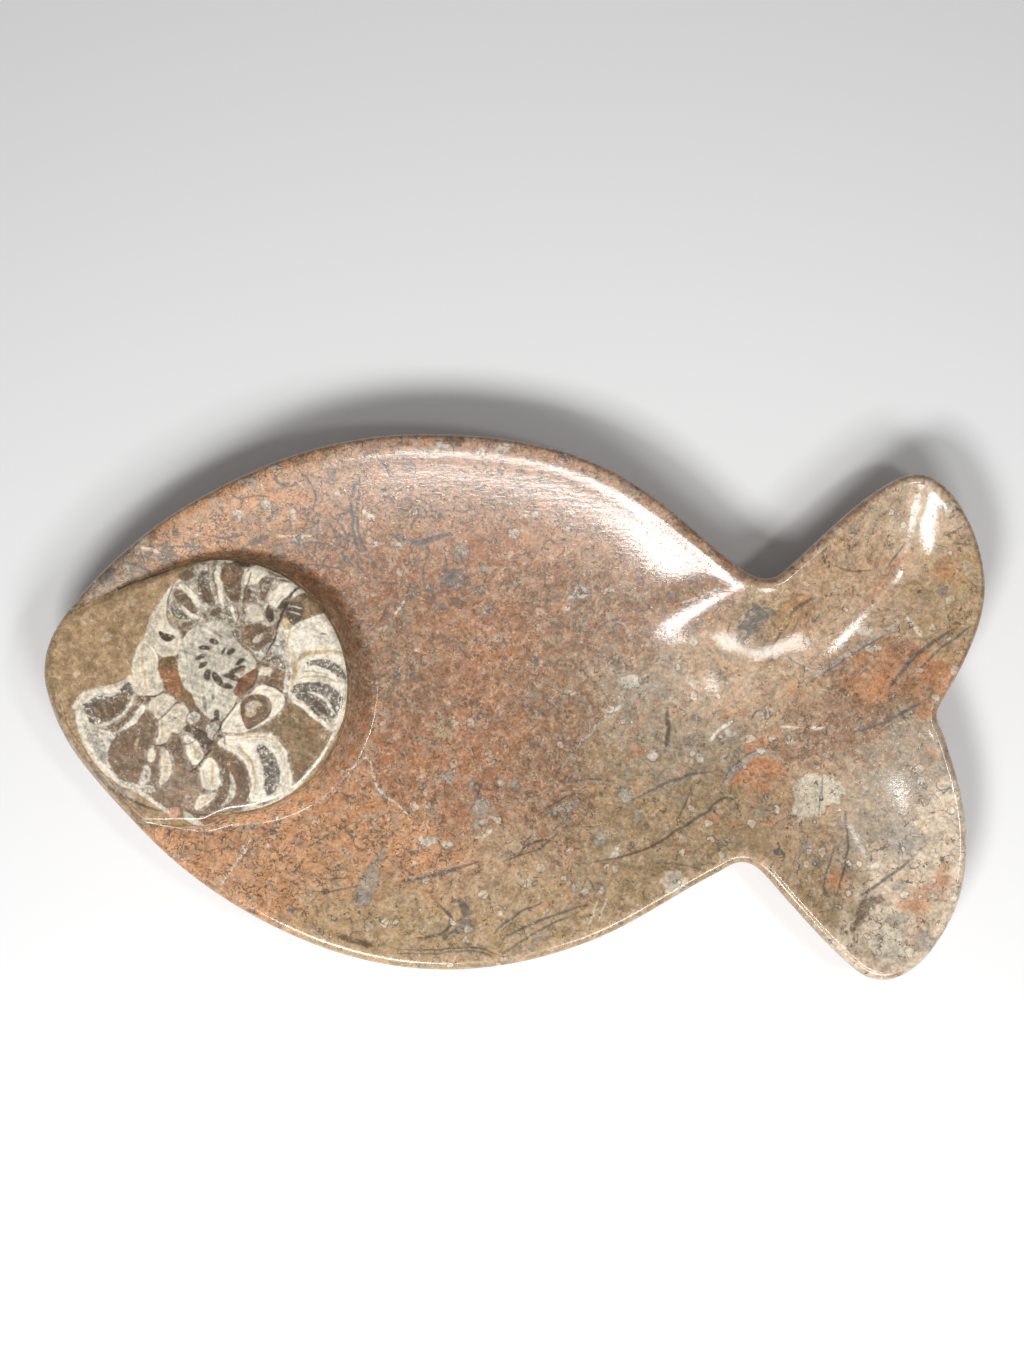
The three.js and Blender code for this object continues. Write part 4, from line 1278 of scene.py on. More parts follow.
# Parts of the shell, largest first: finish, then corners. Calcite ones are banded from their edge in.
CHAMBERS = [
    ("ribs", [(-82.5, 27), (-80.5, 30), (-77, 33), (-74, 35.5), (-70, 36), (-65, 35), (-60, 33.5),
        (-56, 30.5), (-54.5, 25), (-57, 19), (-64, 20), (-67, 19), (-72, 20), (-78, 18.5), (-81, 20),
        (-83.5, 23)]),
    ("cream", [(-80.7, 30.5), (-83.2, 27.5), (-85.8, 23.4), (-87.4, 19.5), (-88, 16.2), (-86, 14),
        (-84.5, 12), (-80, 12), (-79.3, 16.5), (-80, 18.4), (-82.4, 20.4), (-83.2, 23.5), (-82.2, 27)]),
    ("lens", [(-85, 18.6), (-83.4, 17.8), (-80.8, 16.9), (-82, 15.6), (-83.6, 15.6), (-84.6, 16.8)]),
    ("stripe", [(-83.4, 22), (-82.2, 20.6), (-79.5, 20.4), (-79.8, 21.6), (-82, 22)]),
    ("brown", [(-81.6, 27.4), (-80, 28.2), (-78.2, 26.6), (-76.8, 25), (-75.8, 23.2), (-76.4, 22.2),
        (-78, 23), (-79.6, 24.6), (-80.8, 25.6)]),
    ("crystal", [(-82.4, 24.6), (-81, 24.4), (-79, 22.6), (-77.4, 21.2), (-79.4, 20.8), (-81.6, 21.8)]),
    ("brown", [(-79, 20.2), (-77.4, 20.6), (-76.6, 19.6), (-78.4, 18.8), (-79.6, 19.4)]),
    ("brown", [(-79.4, 18), (-77.8, 18), (-77.8, 16.4), (-79, 16.2)]),
    ("brown", [(-80.8, 31.6), (-77.4, 33), (-76, 31.6), (-77.6, 30.4), (-79.4, 30.2)]),
    ("crystal", [(-75.4, 32.6), (-73, 33), (-72.8, 29), (-72, 26), (-71, 24.8), (-73, 24), (-75, 26),
        (-76, 29)]),
    ("brown", [(-75.2, 30), (-74.4, 31), (-74, 28.6), (-72.4, 27.4), (-71.4, 25.4), (-73, 24.4),
        (-74.6, 26.4)]),
    ("brown", [(-72.4, 23.4), (-70.2, 24), (-69.8, 22.8), (-71, 21.4), (-72.8, 21.8)]),
    ("brown", [(-69.8, 34), (-67.4, 35.2), (-65, 34.6), (-64.4, 32.6), (-65.2, 30.4), (-65.4, 27.6),
        (-65.8, 25.2), (-67.2, 25), (-68.4, 26.4), (-69.6, 28.4), (-70, 31)]),
    ("umber", [(-67, 35.8), (-63.5, 35.2), (-61.6, 34.2), (-63.5, 33.2), (-65.5, 33.6)]),
    ("brown", [(-64.8, 28.6), (-63.4, 28.8), (-62.8, 26.6), (-63.8, 24.6), (-64.2, 22), (-65.2, 22.4),
        (-65, 25.4)]),
    ("calcite", [(-64.8, 29.2), (-64.4, 31.4), (-62.4, 33.8), (-60.6, 34), (-58.6, 32.4), (-60.2, 30.8),
        (-61.4, 29.4), (-63.2, 28.8)]),
    ("brown", [(-60, 31.2), (-57.4, 31.2), (-57.6, 29.4), (-58.8, 27.6), (-59.6, 24.8), (-60.8, 25.4),
        (-60.6, 27.8), (-61.6, 29.4)]),
    ("crystal", [(-59.6, 30.4), (-57.8, 30.2), (-59, 28.2), (-60.2, 28)]),
    ("cream", [(-63.8, 24.4), (-62.2, 25.2), (-60.4, 23.2), (-59.2, 20.6), (-62, 20.4), (-64.4, 20.8)]),
    ("umber", [(-59.4, 24.6), (-57.8, 24), (-57.2, 21.4), (-58.2, 19.8), (-59.6, 22)]),
    ("calcite", [(-59, 26), (-58.6, 24.4), (-57, 23.6), (-55.8, 24.4), (-54.8, 26), (-53, 28), (-51.2, 29),
        (-54, 30), (-56, 29.2), (-57.8, 27.4)]),
    ("brown", [(-64.8, 17.8), (-63.4, 19.8), (-61, 20.2), (-59, 19.2), (-57.9, 17.4), (-58.2, 15.4),
        (-60, 14.4), (-61.6, 12.8), (-63, 14.6)]),
    ("frost", [(-62.6, 16), (-61.4, 17.2), (-60, 17.6), (-60.4, 16.2), (-61.8, 15.2)]),
    ("calcite", [(-56.2, 20), (-54.6, 18.4), (-53, 19.2), (-51, 20.7), (-47.5, 21.8), (-44.6, 22.8),
        (-42, 19.8), (-40, 16), (-39, 11), (-38.6, 5), (-39.4, 0), (-41.5, -4.4), (-44, -6), (-47.5, -3),
        (-50.5, -0.5), (-52.5, 0.8), (-54, 2.5), (-54.4, 5.5), (-54, 9), (-54.3, 12.5), (-55.6, 16)]),
    ("calcite", [(-53.4, 26.2), (-52.6, 28), (-50.4, 28.8), (-48.6, 27.6), (-50.6, 27.4), (-52.2, 26.6)]),
    ("olive", [(-53.2, 25.6), (-51.6, 26.6), (-49.4, 27.4), (-47, 25.8), (-44.2, 22.8), (-46, 22.2),
        (-49, 21.6), (-51, 20.7), (-50.4, 23.4)]),
    ("dusk", [(-55, 24.2), (-53.6, 25.6), (-51, 25), (-50.2, 23.4), (-50.8, 20.9), (-53.2, 19.6),
        (-54.4, 21.6)]),
    ("dusk", [(-57, 23.2), (-55.4, 25.8), (-54, 26.4), (-54.2, 24.8), (-55.4, 23)]),
    ("stripe", [(-56.2, 20.2), (-54.9, 21.7), (-53.3, 19.8), (-54.6, 18.4)]),
    ("crystal", [(-50.4, 10.2), (-48.6, 11.3), (-45.6, 11.5), (-42.6, 10.6), (-40.4, 8.4), (-40.2, 6.2),
        (-42, 7.2), (-44, 8.8), (-46.6, 9.9)]),
    ("crystal", [(-53.6, 4.2), (-52, 5.6), (-49, 6.1), (-45.5, 5.8), (-43, 4.5), (-41.2, 2.5), (-41, 0.5),
        (-42.4, -1.5), (-44, -4.2), (-46, -3), (-48.5, -0.6), (-50.5, 1.3), (-52.5, 2.6)]),
    ("umber", [(-49.6, 2.4), (-47.4, 2.2), (-44.8, -0.4), (-44.4, -2.4), (-46.6, -1)]),
    ("olive", [(-55.2, 0.3), (-52, 0.5), (-50.5, -0.6), (-47.5, -3), (-44.3, -5.6), (-44.5, -8), (-46, -11),
        (-49, -14), (-53, -17.4), (-53.3, -14.5), (-54, -11.5), (-55.5, -8.5), (-57.5, -6.4), (-61, -5.9),
        (-66.5, -6.4), (-60, -4), (-57, -2)]),
    ("calcite", [(-69.6, -6.9), (-66, -6.6), (-60, -6), (-58, -6.3), (-56, -8), (-54.3, -11), (-53.3, -15),
        (-53, -19), (-54.5, -21.2), (-60, -22.6), (-63.5, -22.6), (-63, -19), (-63.3, -16), (-64.5, -13),
        (-66.5, -11.2), (-69, -9.9), (-71.4, -8.7)]),
    ("crystal", [(-62, -9.6), (-60.5, -8.8), (-58.5, -10.2), (-57, -12), (-56, -15), (-56, -18),
        (-57.5, -20.6), (-59.6, -21), (-59.8, -17), (-60, -14), (-61, -11.6)]),
    ("brown", [(-73, -10.5), (-71, -9.5), (-68, -10.6), (-65.5, -12.5), (-64.2, -15), (-63.8, -18),
        (-63, -20.5), (-64.6, -22.8), (-69, -24), (-74, -25), (-72.5, -22.5), (-70.5, -20.5), (-69.8, -17.5),
        (-70, -14.5), (-71.5, -12)]),
    ("frost", [(-68.2, -15.2), (-67, -16.5), (-66.3, -19), (-67, -21.5), (-69, -23.5), (-70.2, -23.6),
        (-68.4, -21.4), (-67.8, -19)]),
    ("calcite", [(-75.6, -15), (-74, -13), (-73, -12), (-71.8, -12.3), (-70.7, -14), (-70.2, -17),
        (-70.4, -19.2), (-73, -20), (-74.6, -18.4)]),
    ("calcite", [(-76, -22), (-75.5, -21), (-73, -20.2), (-70.8, -20.6), (-72.5, -22.4), (-75.5, -24.6),
        (-76.3, -23.8)]),
    ("rosewood", [(-83.5, -8.8), (-82, -7), (-79.8, -6.6), (-79.2, -8), (-78.3, -10), (-78, -13),
        (-76.5, -15.5), (-75, -17), (-74.8, -19.5), (-75.8, -21), (-76.3, -24.4), (-79, -24.6), (-81.5, -24),
        (-84, -23.4), (-87, -21.8), (-84.5, -19), (-82.5, -17.5), (-81.8, -14), (-82, -11)]),
    ("brown", [(-83, -9.4), (-81.6, -7.4), (-79.8, -7), (-78.8, -10), (-78.6, -13.4), (-81, -13.4),
        (-81.8, -11)]),
    ("umber", [(-79, -4.2), (-77, -4.4), (-75, -5), (-73, -6.5), (-71.6, -7.6), (-72.2, -8.6),
        (-73.6, -10.6), (-75, -10), (-76, -8), (-77.5, -6.3), (-79, -5.6)]),
    ("calcite", [(-79.2, -7), (-77.8, -6.2), (-76.4, -7.8), (-75, -9.3), (-73.5, -11.6), (-76.4, -14.5),
        (-78, -12), (-78.4, -9.5)]),
    ("frost", [(-78.4, -2.6), (-77.4, -1.1), (-75.6, -1), (-75, -2.6), (-76.2, -4), (-77.8, -4)]),
    ("frost", [(-73.6, -4.2), (-72, -3.6), (-70.2, -4.4), (-71.2, -7.4), (-72.4, -8), (-73.4, -6.6)]),
    ("frost", [(-104.6, -0.5), (-102.4, -0.2), (-101.8, -4.6), (-98.6, -5), (-94.6, -6.4), (-96.6, -9),
        (-97.4, -12), (-96, -15), (-93, -17.6), (-90, -18.6), (-86, -18.8), (-85.4, -20.2), (-91, -20.4),
        (-96, -17), (-99, -14), (-101.2, -11), (-102.8, -8), (-104.2, -5)]),
    ("cream", [(-106, -0.4), (-104, 2.4), (-101, 4.6), (-96.5, 4.6), (-94, 5.6), (-91.6, 8.4), (-90.4, 6),
        (-90.4, 2), (-93, -2), (-97, -4.4), (-101, -5), (-103, -3), (-104, -0.8)]),
    ("crystal", [(-103.4, 0.3), (-101.4, 1.6), (-99.5, 2.9), (-97, 2.3), (-95, 3.1), (-94, 4.6),
        (-92.4, 6.2), (-91.3, 5), (-91, 3), (-91.8, 1), (-93.4, -1), (-95.6, -2.9), (-98.5, -4),
        (-101.2, -4.2), (-102, -2)]),
    ("brown", [(-100.8, 0.6), (-98, 1.4), (-94.8, 1.8), (-93.4, 3.8), (-92, 4), (-92.2, 1.6), (-94, -0.8),
        (-96.4, -2.6), (-99.6, -2.8), (-100.6, -1.4)]),
    ("brown", [(-91.6, -1.4), (-94, -3.8), (-97, -5.2), (-94.2, -5), (-92, -3.2), (-90.6, -1.4)]),
    ("calcite", [(-89.4, 0.8), (-88, 0.6), (-88.4, -1.4), (-90, -3.6), (-92.6, -5.2), (-95.4, -6),
        (-93, -4.2), (-90.8, -2.4)]),
    ("bister", [(-88.3, -0.8), (-87, -2), (-85.5, -4), (-85.8, -6), (-86.7, -9), (-87.8, -10.5),
        (-88.2, -13), (-89, -15), (-90, -17.6), (-92, -18), (-95, -16.5), (-96.8, -13.5), (-97, -11),
        (-95.8, -8.5), (-93.5, -6.2), (-90.5, -4)]),
    ("cream", [(-87.8, 0.5), (-85.5, 2.8), (-83.5, 3.6), (-80.5, 1.8), (-81.5, 0.4), (-83.5, -1.2),
        (-85, -3.2), (-86.3, -2)]),
    ("cream", [(-81.6, 0.3), (-80, 0.9), (-77.8, 0.1), (-77.8, -2), (-79, -4), (-79.2, -5.8), (-80.2, -6.5),
        (-82, -5.6), (-82.6, -8), (-84.4, -9), (-86, -8.6), (-84.8, -6), (-85, -3.2), (-83.4, -1.4)]),
    ("cream", [(-86.4, -9.5), (-87.4, -10.5), (-87.9, -12.3), (-87, -13.2), (-85.8, -12.5), (-85.6, -10.5)]),
    ("frost", [(-88.2, -13.5), (-87, -14), (-86.8, -16.5), (-88, -18.5), (-90, -18.5), (-89, -16)]),
    ("cream", [(-84.5, -10), (-83.3, -9.9), (-82, -11.5), (-81.8, -14), (-82.5, -17), (-83.5, -18.2),
        (-84.8, -18.8), (-84.6, -16), (-84.4, -14)]),
    ("cream", [(-91.4, 10), (-90.4, 14), (-88.5, 16.8), (-86.5, 14.5), (-85, 12.2), (-85, 8), (-84, 5.5),
        (-84, 3.6), (-86.5, 2.7), (-90.6, 2.8), (-91.2, 6)]),
    ("amber", [(-84.9, 12.2), (-81, 12.2), (-80.7, 9.5), (-80, 6.5), (-78.5, 4.2), (-76.6, 2.4),
        (-75.8, 0.2), (-77.2, -0.2), (-78.5, 0.9), (-80.5, 2.1), (-82.3, 3.4), (-83.8, 4.6), (-84, 6.5),
        (-85, 8)]),
    ("gold", [(-84.9, 12.2), (-81, 12.2), (-80.9, 9.4), (-83, 8.6), (-84.8, 9.2)]),
    ("gold", [(-80, 4.8), (-78.6, 4.2), (-76.6, 2.4), (-75.8, 0.2), (-77.2, -0.2), (-79.4, 1.5)]),
    ("shell", [(-80.6, 12), (-79.3, 16), (-77.4, 18.6), (-75, 20), (-71.5, 20.6), (-68, 20), (-67, 18),
        (-66.8, 16.3), (-64.8, 14), (-62.4, 12.2), (-61.4, 10.2), (-62.6, 8), (-66, 2.6), (-67.4, -0.4),
        (-69.6, -3), (-71.6, -3.4), (-74, -2), (-75.8, 0.2), (-76.6, 2.4), (-78.4, 4.4), (-80, 7)]),
    ("crystal", [(-67.6, 18.6), (-66.2, 18.8), (-65.6, 17), (-67.4, 16.4)]),
    ("calcite", [(-67.5, -0.6), (-65.5, 1.4), (-63, 3.6), (-61.5, 5), (-59.5, 5.3), (-57, 4.4), (-55, 3),
        (-54.8, 1), (-56, -1), (-58, -3), (-61, -4.8), (-65, -6.1), (-69.6, -6.2), (-70.2, -4.2),
        (-68.7, -2.2)]),
    ("brown", [(-65.6, 1.2), (-63.8, 2.9), (-61.4, 3.3), (-58.9, 2.6), (-57.8, 0.4), (-58.1, -1.8),
        (-60.3, -3.6), (-62.5, -5), (-64, -5.4), (-65, -3), (-65.5, -1)]),
    ("stripe", [(-64.6, 0.6), (-62.6, 1.7), (-60.6, 1.2), (-60.4, 0.2), (-61.8, 0), (-61.6, -1.4),
        (-63, -2.4), (-64.4, -2), (-64.2, -0.8)]),
    ("frost", [(-64, 0.5), (-62.6, 1.2), (-61.4, 0.9), (-62.6, 0), (-62.4, -1.4), (-63.6, -1.6)]),
    ("bister", [(-62, -2.6), (-60.8, -1.8), (-60.6, -3), (-61.6, -3.6)]),
    ("frost", [(-57.6, 17.4), (-56.4, 20.2), (-55.2, 18.6), (-54, 13), (-53.6, 9), (-53.8, 3.4),
        (-55.6, 3.6), (-55, 8), (-54.4, 10), (-55.6, 12.4), (-58.6, 13)]),
    ("frost", [(-64.6, 15.4), (-62.4, 13.2), (-61, 10.4), (-58.2, 13.2), (-57.8, 15.6), (-60, 14.6),
        (-61.6, 13)]),
    ("bister", [(-60.9, 9.6), (-59.5, 11.6), (-57.5, 12.5), (-55.5, 11.6), (-54.2, 9.8), (-54.8, 8.2),
        (-55.2, 6), (-54.8, 4), (-57, 4.7), (-59.5, 5.7), (-61.2, 6.8)]),
    ("crystal", [(-59.8, 10.9), (-58, 12.2), (-56, 11.8), (-54.5, 10), (-54.8, 8.8), (-56.2, 9.5),
        (-57.5, 10.6)]),
    ("cream", [(-61.4, 7.4), (-60.6, 9.2), (-59, 9.8), (-57.8, 9.2), (-58.2, 8), (-59.8, 7.6)]),
    ("olive", [(-58.4, 7.6), (-57.2, 8.4), (-56, 8), (-55.8, 6.4), (-57.4, 6)]),
    ("resin", [(-61.2, 9.8), (-61.9, 7), (-63.1, 5), (-65, 3.5), (-66.2, 2.3), (-67, 3.3), (-66.8, 4.5),
        (-65.8, 6.8), (-64, 8.2), (-62.6, 8.8)]),
    ("cream", [(-65, -24), (-62.5, -22.6), (-60.8, -23.4), (-61, -25.4), (-62.6, -26), (-64.6, -25.6)]),
]

# Small rounds and ovals: finish, centre, two radii, turn in degrees
BLOCK_ROUNDS = [
    ("matrix_dot", -91.5, 25.3, 1.2, 1.2, 0), ("matrix_dot", -94.5, 23.7, 0.8, 0.8, 0),
    ("matrix_dot", -103, 20.2, 0.7, 0.6, 0), ("matrix_dot", -91.3, 20.5, 0.8, 0.8, 0),
    ("matrix_dot", -97.2, 16.8, 1.1, 1.1, 0), ("matrix_dot", -93, 14.7, 0.5, 0.4, 0),
    ("matrix_dot", -104.5, 8, 1.0, 0.7, 30), ("calcite", -70.3, 35, 0.8, 0.8, 0),
    ("calcite", -68.3, 35, 1.0, 0.5, 0), ("calcite", -72.8, 35.2, 0.8, 0.5, 0),
    ("lens", -71.8, 15.7, 1.25, 0.7, -12), ("lens", -74, 14.1, 1.65, 0.55, 0),
    ("lens", -74.9, 11.9, 1.45, 0.55, 22), ("lens", -74.5, 10.1, 1.15, 0.55, 38),
    ("lens", -73.3, 7.7, 1.45, 0.9, 80), ("lens", -70.9, 6.8, 1.95, 0.9, -62),
    ("lens", -68.7, 5, 1.65, 0.65, -8), ("lens", -67.4, 7.1, 2.15, 0.75, -10),
    ("lens", -66.2, 8.9, 2.25, 0.75, 24), ("lens", -65.6, 10.9, 1.45, 0.55, 30),
    ("lens", -67.6, 13.2, 1.15, 0.75, 25), ("lens", -69.4, 13.5, 0.95, 0.4, 60),
    ("crystal", -70.8, 17.4, 1.9, 0.3, -30), ("crystal", -74, 0.8, 0.5, 2.0, 6),
    ("lens", -71.1, -1.8, 0.65, 1.25, -10), ("lens", -71.6, -3, 1.05, 0.65, 20),
    ("crystal", -72, 2.4, 0.4, 0.6, 0), ("umber", -81, -2.4, 0.25, 0.2, 0),
    ("stripe", -90.3, -8.3, 0.4, 1.1, -20),
]

# Lines on the block: finish, width, points
BLOCK_LINES = [
    ("calcite", 1.5, [(-104, -1.4), (-103.6, -4.6), (-102.4, -8.4), (-100, -12.4), (-97, -15.8),
        (-92.6, -19.2)]),
    ("ash", 1.5, [(-100.6, -14.6), (-97.4, -17.8), (-94, -20.2), (-90.4, -22)]),
    ("dusk", 0.7, [(-96.4, -19.4), (-92.6, -21.8), (-88.6, -23.4), (-84.6, -24.8)]),
    ("ash", 0.4, [(-101.6, -6), (-99.6, -10), (-97.4, -13.4)]),
    ("calcite", 0.5, [(-103, 0.9), (-101, 2.6), (-99, 3.7), (-96, 3.5), (-94.4, 5)]),
    ("crack", 0.25, [(-80.9, 30.6), (-82.4, 27), (-83.1, 23), (-82.6, 20.2), (-80.4, 18.4)]),
    ("calcite", 1.3, [(-85.2, 21), (-83.6, 19.4), (-81.6, 18), (-80, 17.4)]),
    ("calcite", 1.5, [(-80, 29.4), (-77.6, 27.6), (-75.8, 25), (-73.6, 23.2)]),
    ("calcite", 0.9, [(-79.4, 24), (-77.4, 22), (-74.6, 21)]),
    ("calcite", 1.2, [(-70.9, 34.6), (-70.8, 31), (-70.4, 27.6), (-69.6, 24)]),
    ("brown", 0.3, [(-71.6, 34), (-71.7, 29.4), (-70.8, 26)]),
    ("brown", 0.3, [(-73.2, 34.6), (-73, 31.6)]),
    ("calcite", 0.7, [(-67.6, 24.4), (-67.2, 22), (-66, 20)]),
    ("brown", 0.4, [(-66.4, 24), (-65.8, 21.4), (-66.6, 19.6)]),
    ("brown", 0.35, [(-62.8, 32.2), (-63.2, 30), (-64.4, 28.2)]),
    ("calcite", 0.5, [(-57, 30.8), (-53.5, 30.4), (-50.5, 29.2), (-49.6, 28.2)]),
    ("umber", 0.3, [(-46.6, 17.5), (-44.6, 17.3)]),
    ("cream", 0.25, [(-53.8, 24.4), (-50.8, 23.4)]),
    ("cream", 0.25, [(-54, 23), (-51, 22)]),
    ("stripe", 1.1, [(-53.2, 3.8), (-52.8, 8), (-52, 11.4), (-49.8, 12.9), (-45.4, 13.4), (-41, 13)]),
    ("stripe", 0.4, [(-53.4, 19), (-54.4, 15), (-53.8, 12)]),
    ("stripe", 0.5, [(-51.8, 6.6), (-49.6, 7.5), (-45.6, 7.4), (-42.6, 6)]),
    ("ash", 0.3, [(-51, 8.4), (-47.6, 8.8), (-44, 7.4)]),
    ("calcite", 0.7, [(-49.4, 3.7), (-46.6, 2.9), (-44.6, 1), (-43, -1.6)]),
    ("calcite", 0.9, [(-50.4, 0), (-47.2, -2.6), (-44.2, -5.2)]),
    ("stripe", 0.4, [(-69, -6.7), (-64, -6.5), (-58.6, -6.1)]),
    ("stripe", 0.6, [(-66, -9.4), (-63, -12), (-62, -16), (-62.2, -20)]),
    ("stripe", 0.7, [(-72.3, -13), (-71.9, -16), (-72.2, -19)]),
    ("stripe", 0.5, [(-71.6, -21), (-74.8, -23.4)]),
    ("stripe", 0.5, [(-77, -8.6), (-75.8, -11.4)]),
    ("stripe", 0.6, [(-88.9, 13), (-88.6, 8), (-87.6, 4)]),
    ("stripe", 0.4, [(-84, -3.6), (-84.2, -7.6)]),
    ("ash", 0.4, [(-79, 14.6), (-78.3, 11), (-77.4, 7), (-76.9, 4)]),
    ("bister", 0.9, [(-85.4, -9.6), (-85.6, -13), (-86.6, -17)]),
    ("crack", 0.55, [(-49.6, 28.7), (-51.8, 28.6), (-53.2, 27.2), (-54, 25.4), (-55.2, 23), (-56.4, 20.4),
        (-56.9, 18), (-57.4, 16), (-58.6, 14), (-59.4, 12), (-61.2, 10)]),
    ("crack", 0.3, [(-61.3, 9.6), (-61.2, 7.4), (-62.6, 5.2), (-64.6, 3.6)]),
    ("crack", 0.4, [(-66.2, 2), (-67.2, -0.4), (-69.6, -2.8), (-70.4, -5.4), (-71.8, -6.8), (-72.2, -9)]),
    ("crack", 0.3, [(-71, -6.6), (-69.2, -6.8), (-69.1, -9.4)]),
    ("crack", 0.45, [(-77.4, -15.4), (-75.5, -14), (-73.6, -11.6), (-72.4, -10)]),
    ("crack", 0.3, [(-79, -8.7), (-77.6, -8.8), (-76.2, -7.8)]),
    ("crack", 0.3, [(-91, 2.3), (-87.4, 2.5), (-85.2, 2.9), (-83.6, 3.7)]),
    ("crack", 0.25, [(-89.6, 1.8), (-88, 1.2), (-86.8, 2.2)]),
    ("crack", 0.25, [(-85, -3.2), (-83.2, -1.6), (-81.6, 0.2), (-80, 1.5)]),
    ("crack", 0.25, [(-78.6, -3), (-77.8, -1.2), (-76, -0.8), (-75, -2)]),
    ("crack", 0.3, [(-86.4, -9), (-84.4, -9.2), (-82.8, -8.4)]),
    ("crack", 0.3, [(-55.4, 3.4), (-57, 4.7), (-60, 5.6)]),
]

# How each finish is worked: whether it is banded, and how much frost of milky and clear crystals it holds
BANDED = ("calcite", "cream")
EARTHY = ("brown", "bister", "rosewood", "olive")
FROST = {"crystal": 1.0, "frost": 0.7, "ribs": 0.8, "shell": 0.0, "cream": 0.12, "stripe": 0.1, "brown": 0.12}
COIL_FROST = 0.3
FRINGE_STEP = (-1.0, 0.1)

# Waves that vary the block: wavelength and seed
CHAMBER_SEED = 40
BANDS = (4, 50)
SAND = (6, 44)
SAND_SHARE = {"middle": 0.2, "swing": 0.4, "least": 0, "most": 0.6}
MOTTLE = (1.6, 61)
RUST = (5, 64)
LAYERS = (7, 71)

# How high each wave stands where its effect begins and where it is full
STRIPE_STEP = (-0.9, 0.5)
SPOTTY_STEP = (-0.6, 0.9)
RUSTY_STEP = (0.2, 1.2)
CHAMBER_WAVER = 0.4
CHAMBER_REACH = 2
ROUND_REACH = 1

# Bands in millimetres: half width and how far inside the edge they run
COIL_BAND = {"half": 0.45, "inside": 0.5}
CHAMBER_CRACK = {"half": 0.1}
CHAMBER_STRIPE = {"half": 0.2, "inside": 1.0}
CHAMBER_ASH = {"half": 0.1, "inside": 1.6}

# How strongly each part of a chamber covers the stone
CHAMBER_SHARES = {
    "coil band": 0.85,
    "fringe": 0.85,
    "fringe frost": 0.8,
    "crack": 0.4,
    "stripe": 0.75,
    "ash": 0.6,
    "mottle": 0.35,
    "rust": 0.3,
    "mark": 0.95,
    "pale layer": 0.8,
    "dark layer": 0.7,
}

# The worn bevel at the lower left: where it fades out from its centre and from the rim, and its layers
BEVEL_FADE = (26, 16)
BEVEL_INSET = (2.5, 4.5)
LAYER_PITCH = 0.8
LAYER_WAVER = 1.5


def paint_chamber(colour, frosty, spots, moved, inside, mottle, finish, corners):
    """Fills one chamber of the coil, with what its finish adds along its edge."""
    ids = near(spots, corners, CHAMBER_REACH)
    depth = area_depth(moved[ids], corners, 1)
    share = cover(depth)
    spotty = mottle[ids]
    if finish in BANDED + ("crystal",):
        fringe = smoothstep(depth, *FRINGE_STEP) * spotty * cover(inside[ids])
        mix_in(colour, ids, BLOCK_TONES["frost"], CHAMBER_SHARES["fringe"] * fringe)
        frosty[ids] = np.maximum(frosty[ids], CHAMBER_SHARES["fringe frost"] * fringe)
    mix_in(colour, ids, BLOCK_TONES[finish], share)
    if finish in BANDED:
        crack = CHAMBER_SHARES["crack"] * band(depth, **CHAMBER_CRACK) * spotty
        stripe = band(depth, **CHAMBER_STRIPE) * smoothstep(ripple(moved[ids], *BANDS), *STRIPE_STEP)
        mix_in(colour, ids, BLOCK_TONES["crack"], crack)
        mix_in(colour, ids, BLOCK_TONES["stripe"], CHAMBER_SHARES["stripe"] * stripe)
        mix_in(colour, ids, BLOCK_TONES["ash"], CHAMBER_SHARES["ash"] * band(depth, **CHAMBER_ASH))
    else:
        rusty = smoothstep(ripple(spots[ids], *RUST), *RUSTY_STEP) * (finish in EARTHY)
        mix_in(colour, ids, BLOCK_TONES["umber"], CHAMBER_SHARES["mottle"] * share * spotty)
        mix_in(colour, ids, BLOCK_TONES["amber"], CHAMBER_SHARES["rust"] * share * rusty)
    frosty[ids] += share * (FROST.get(finish, 0) - frosty[ids])


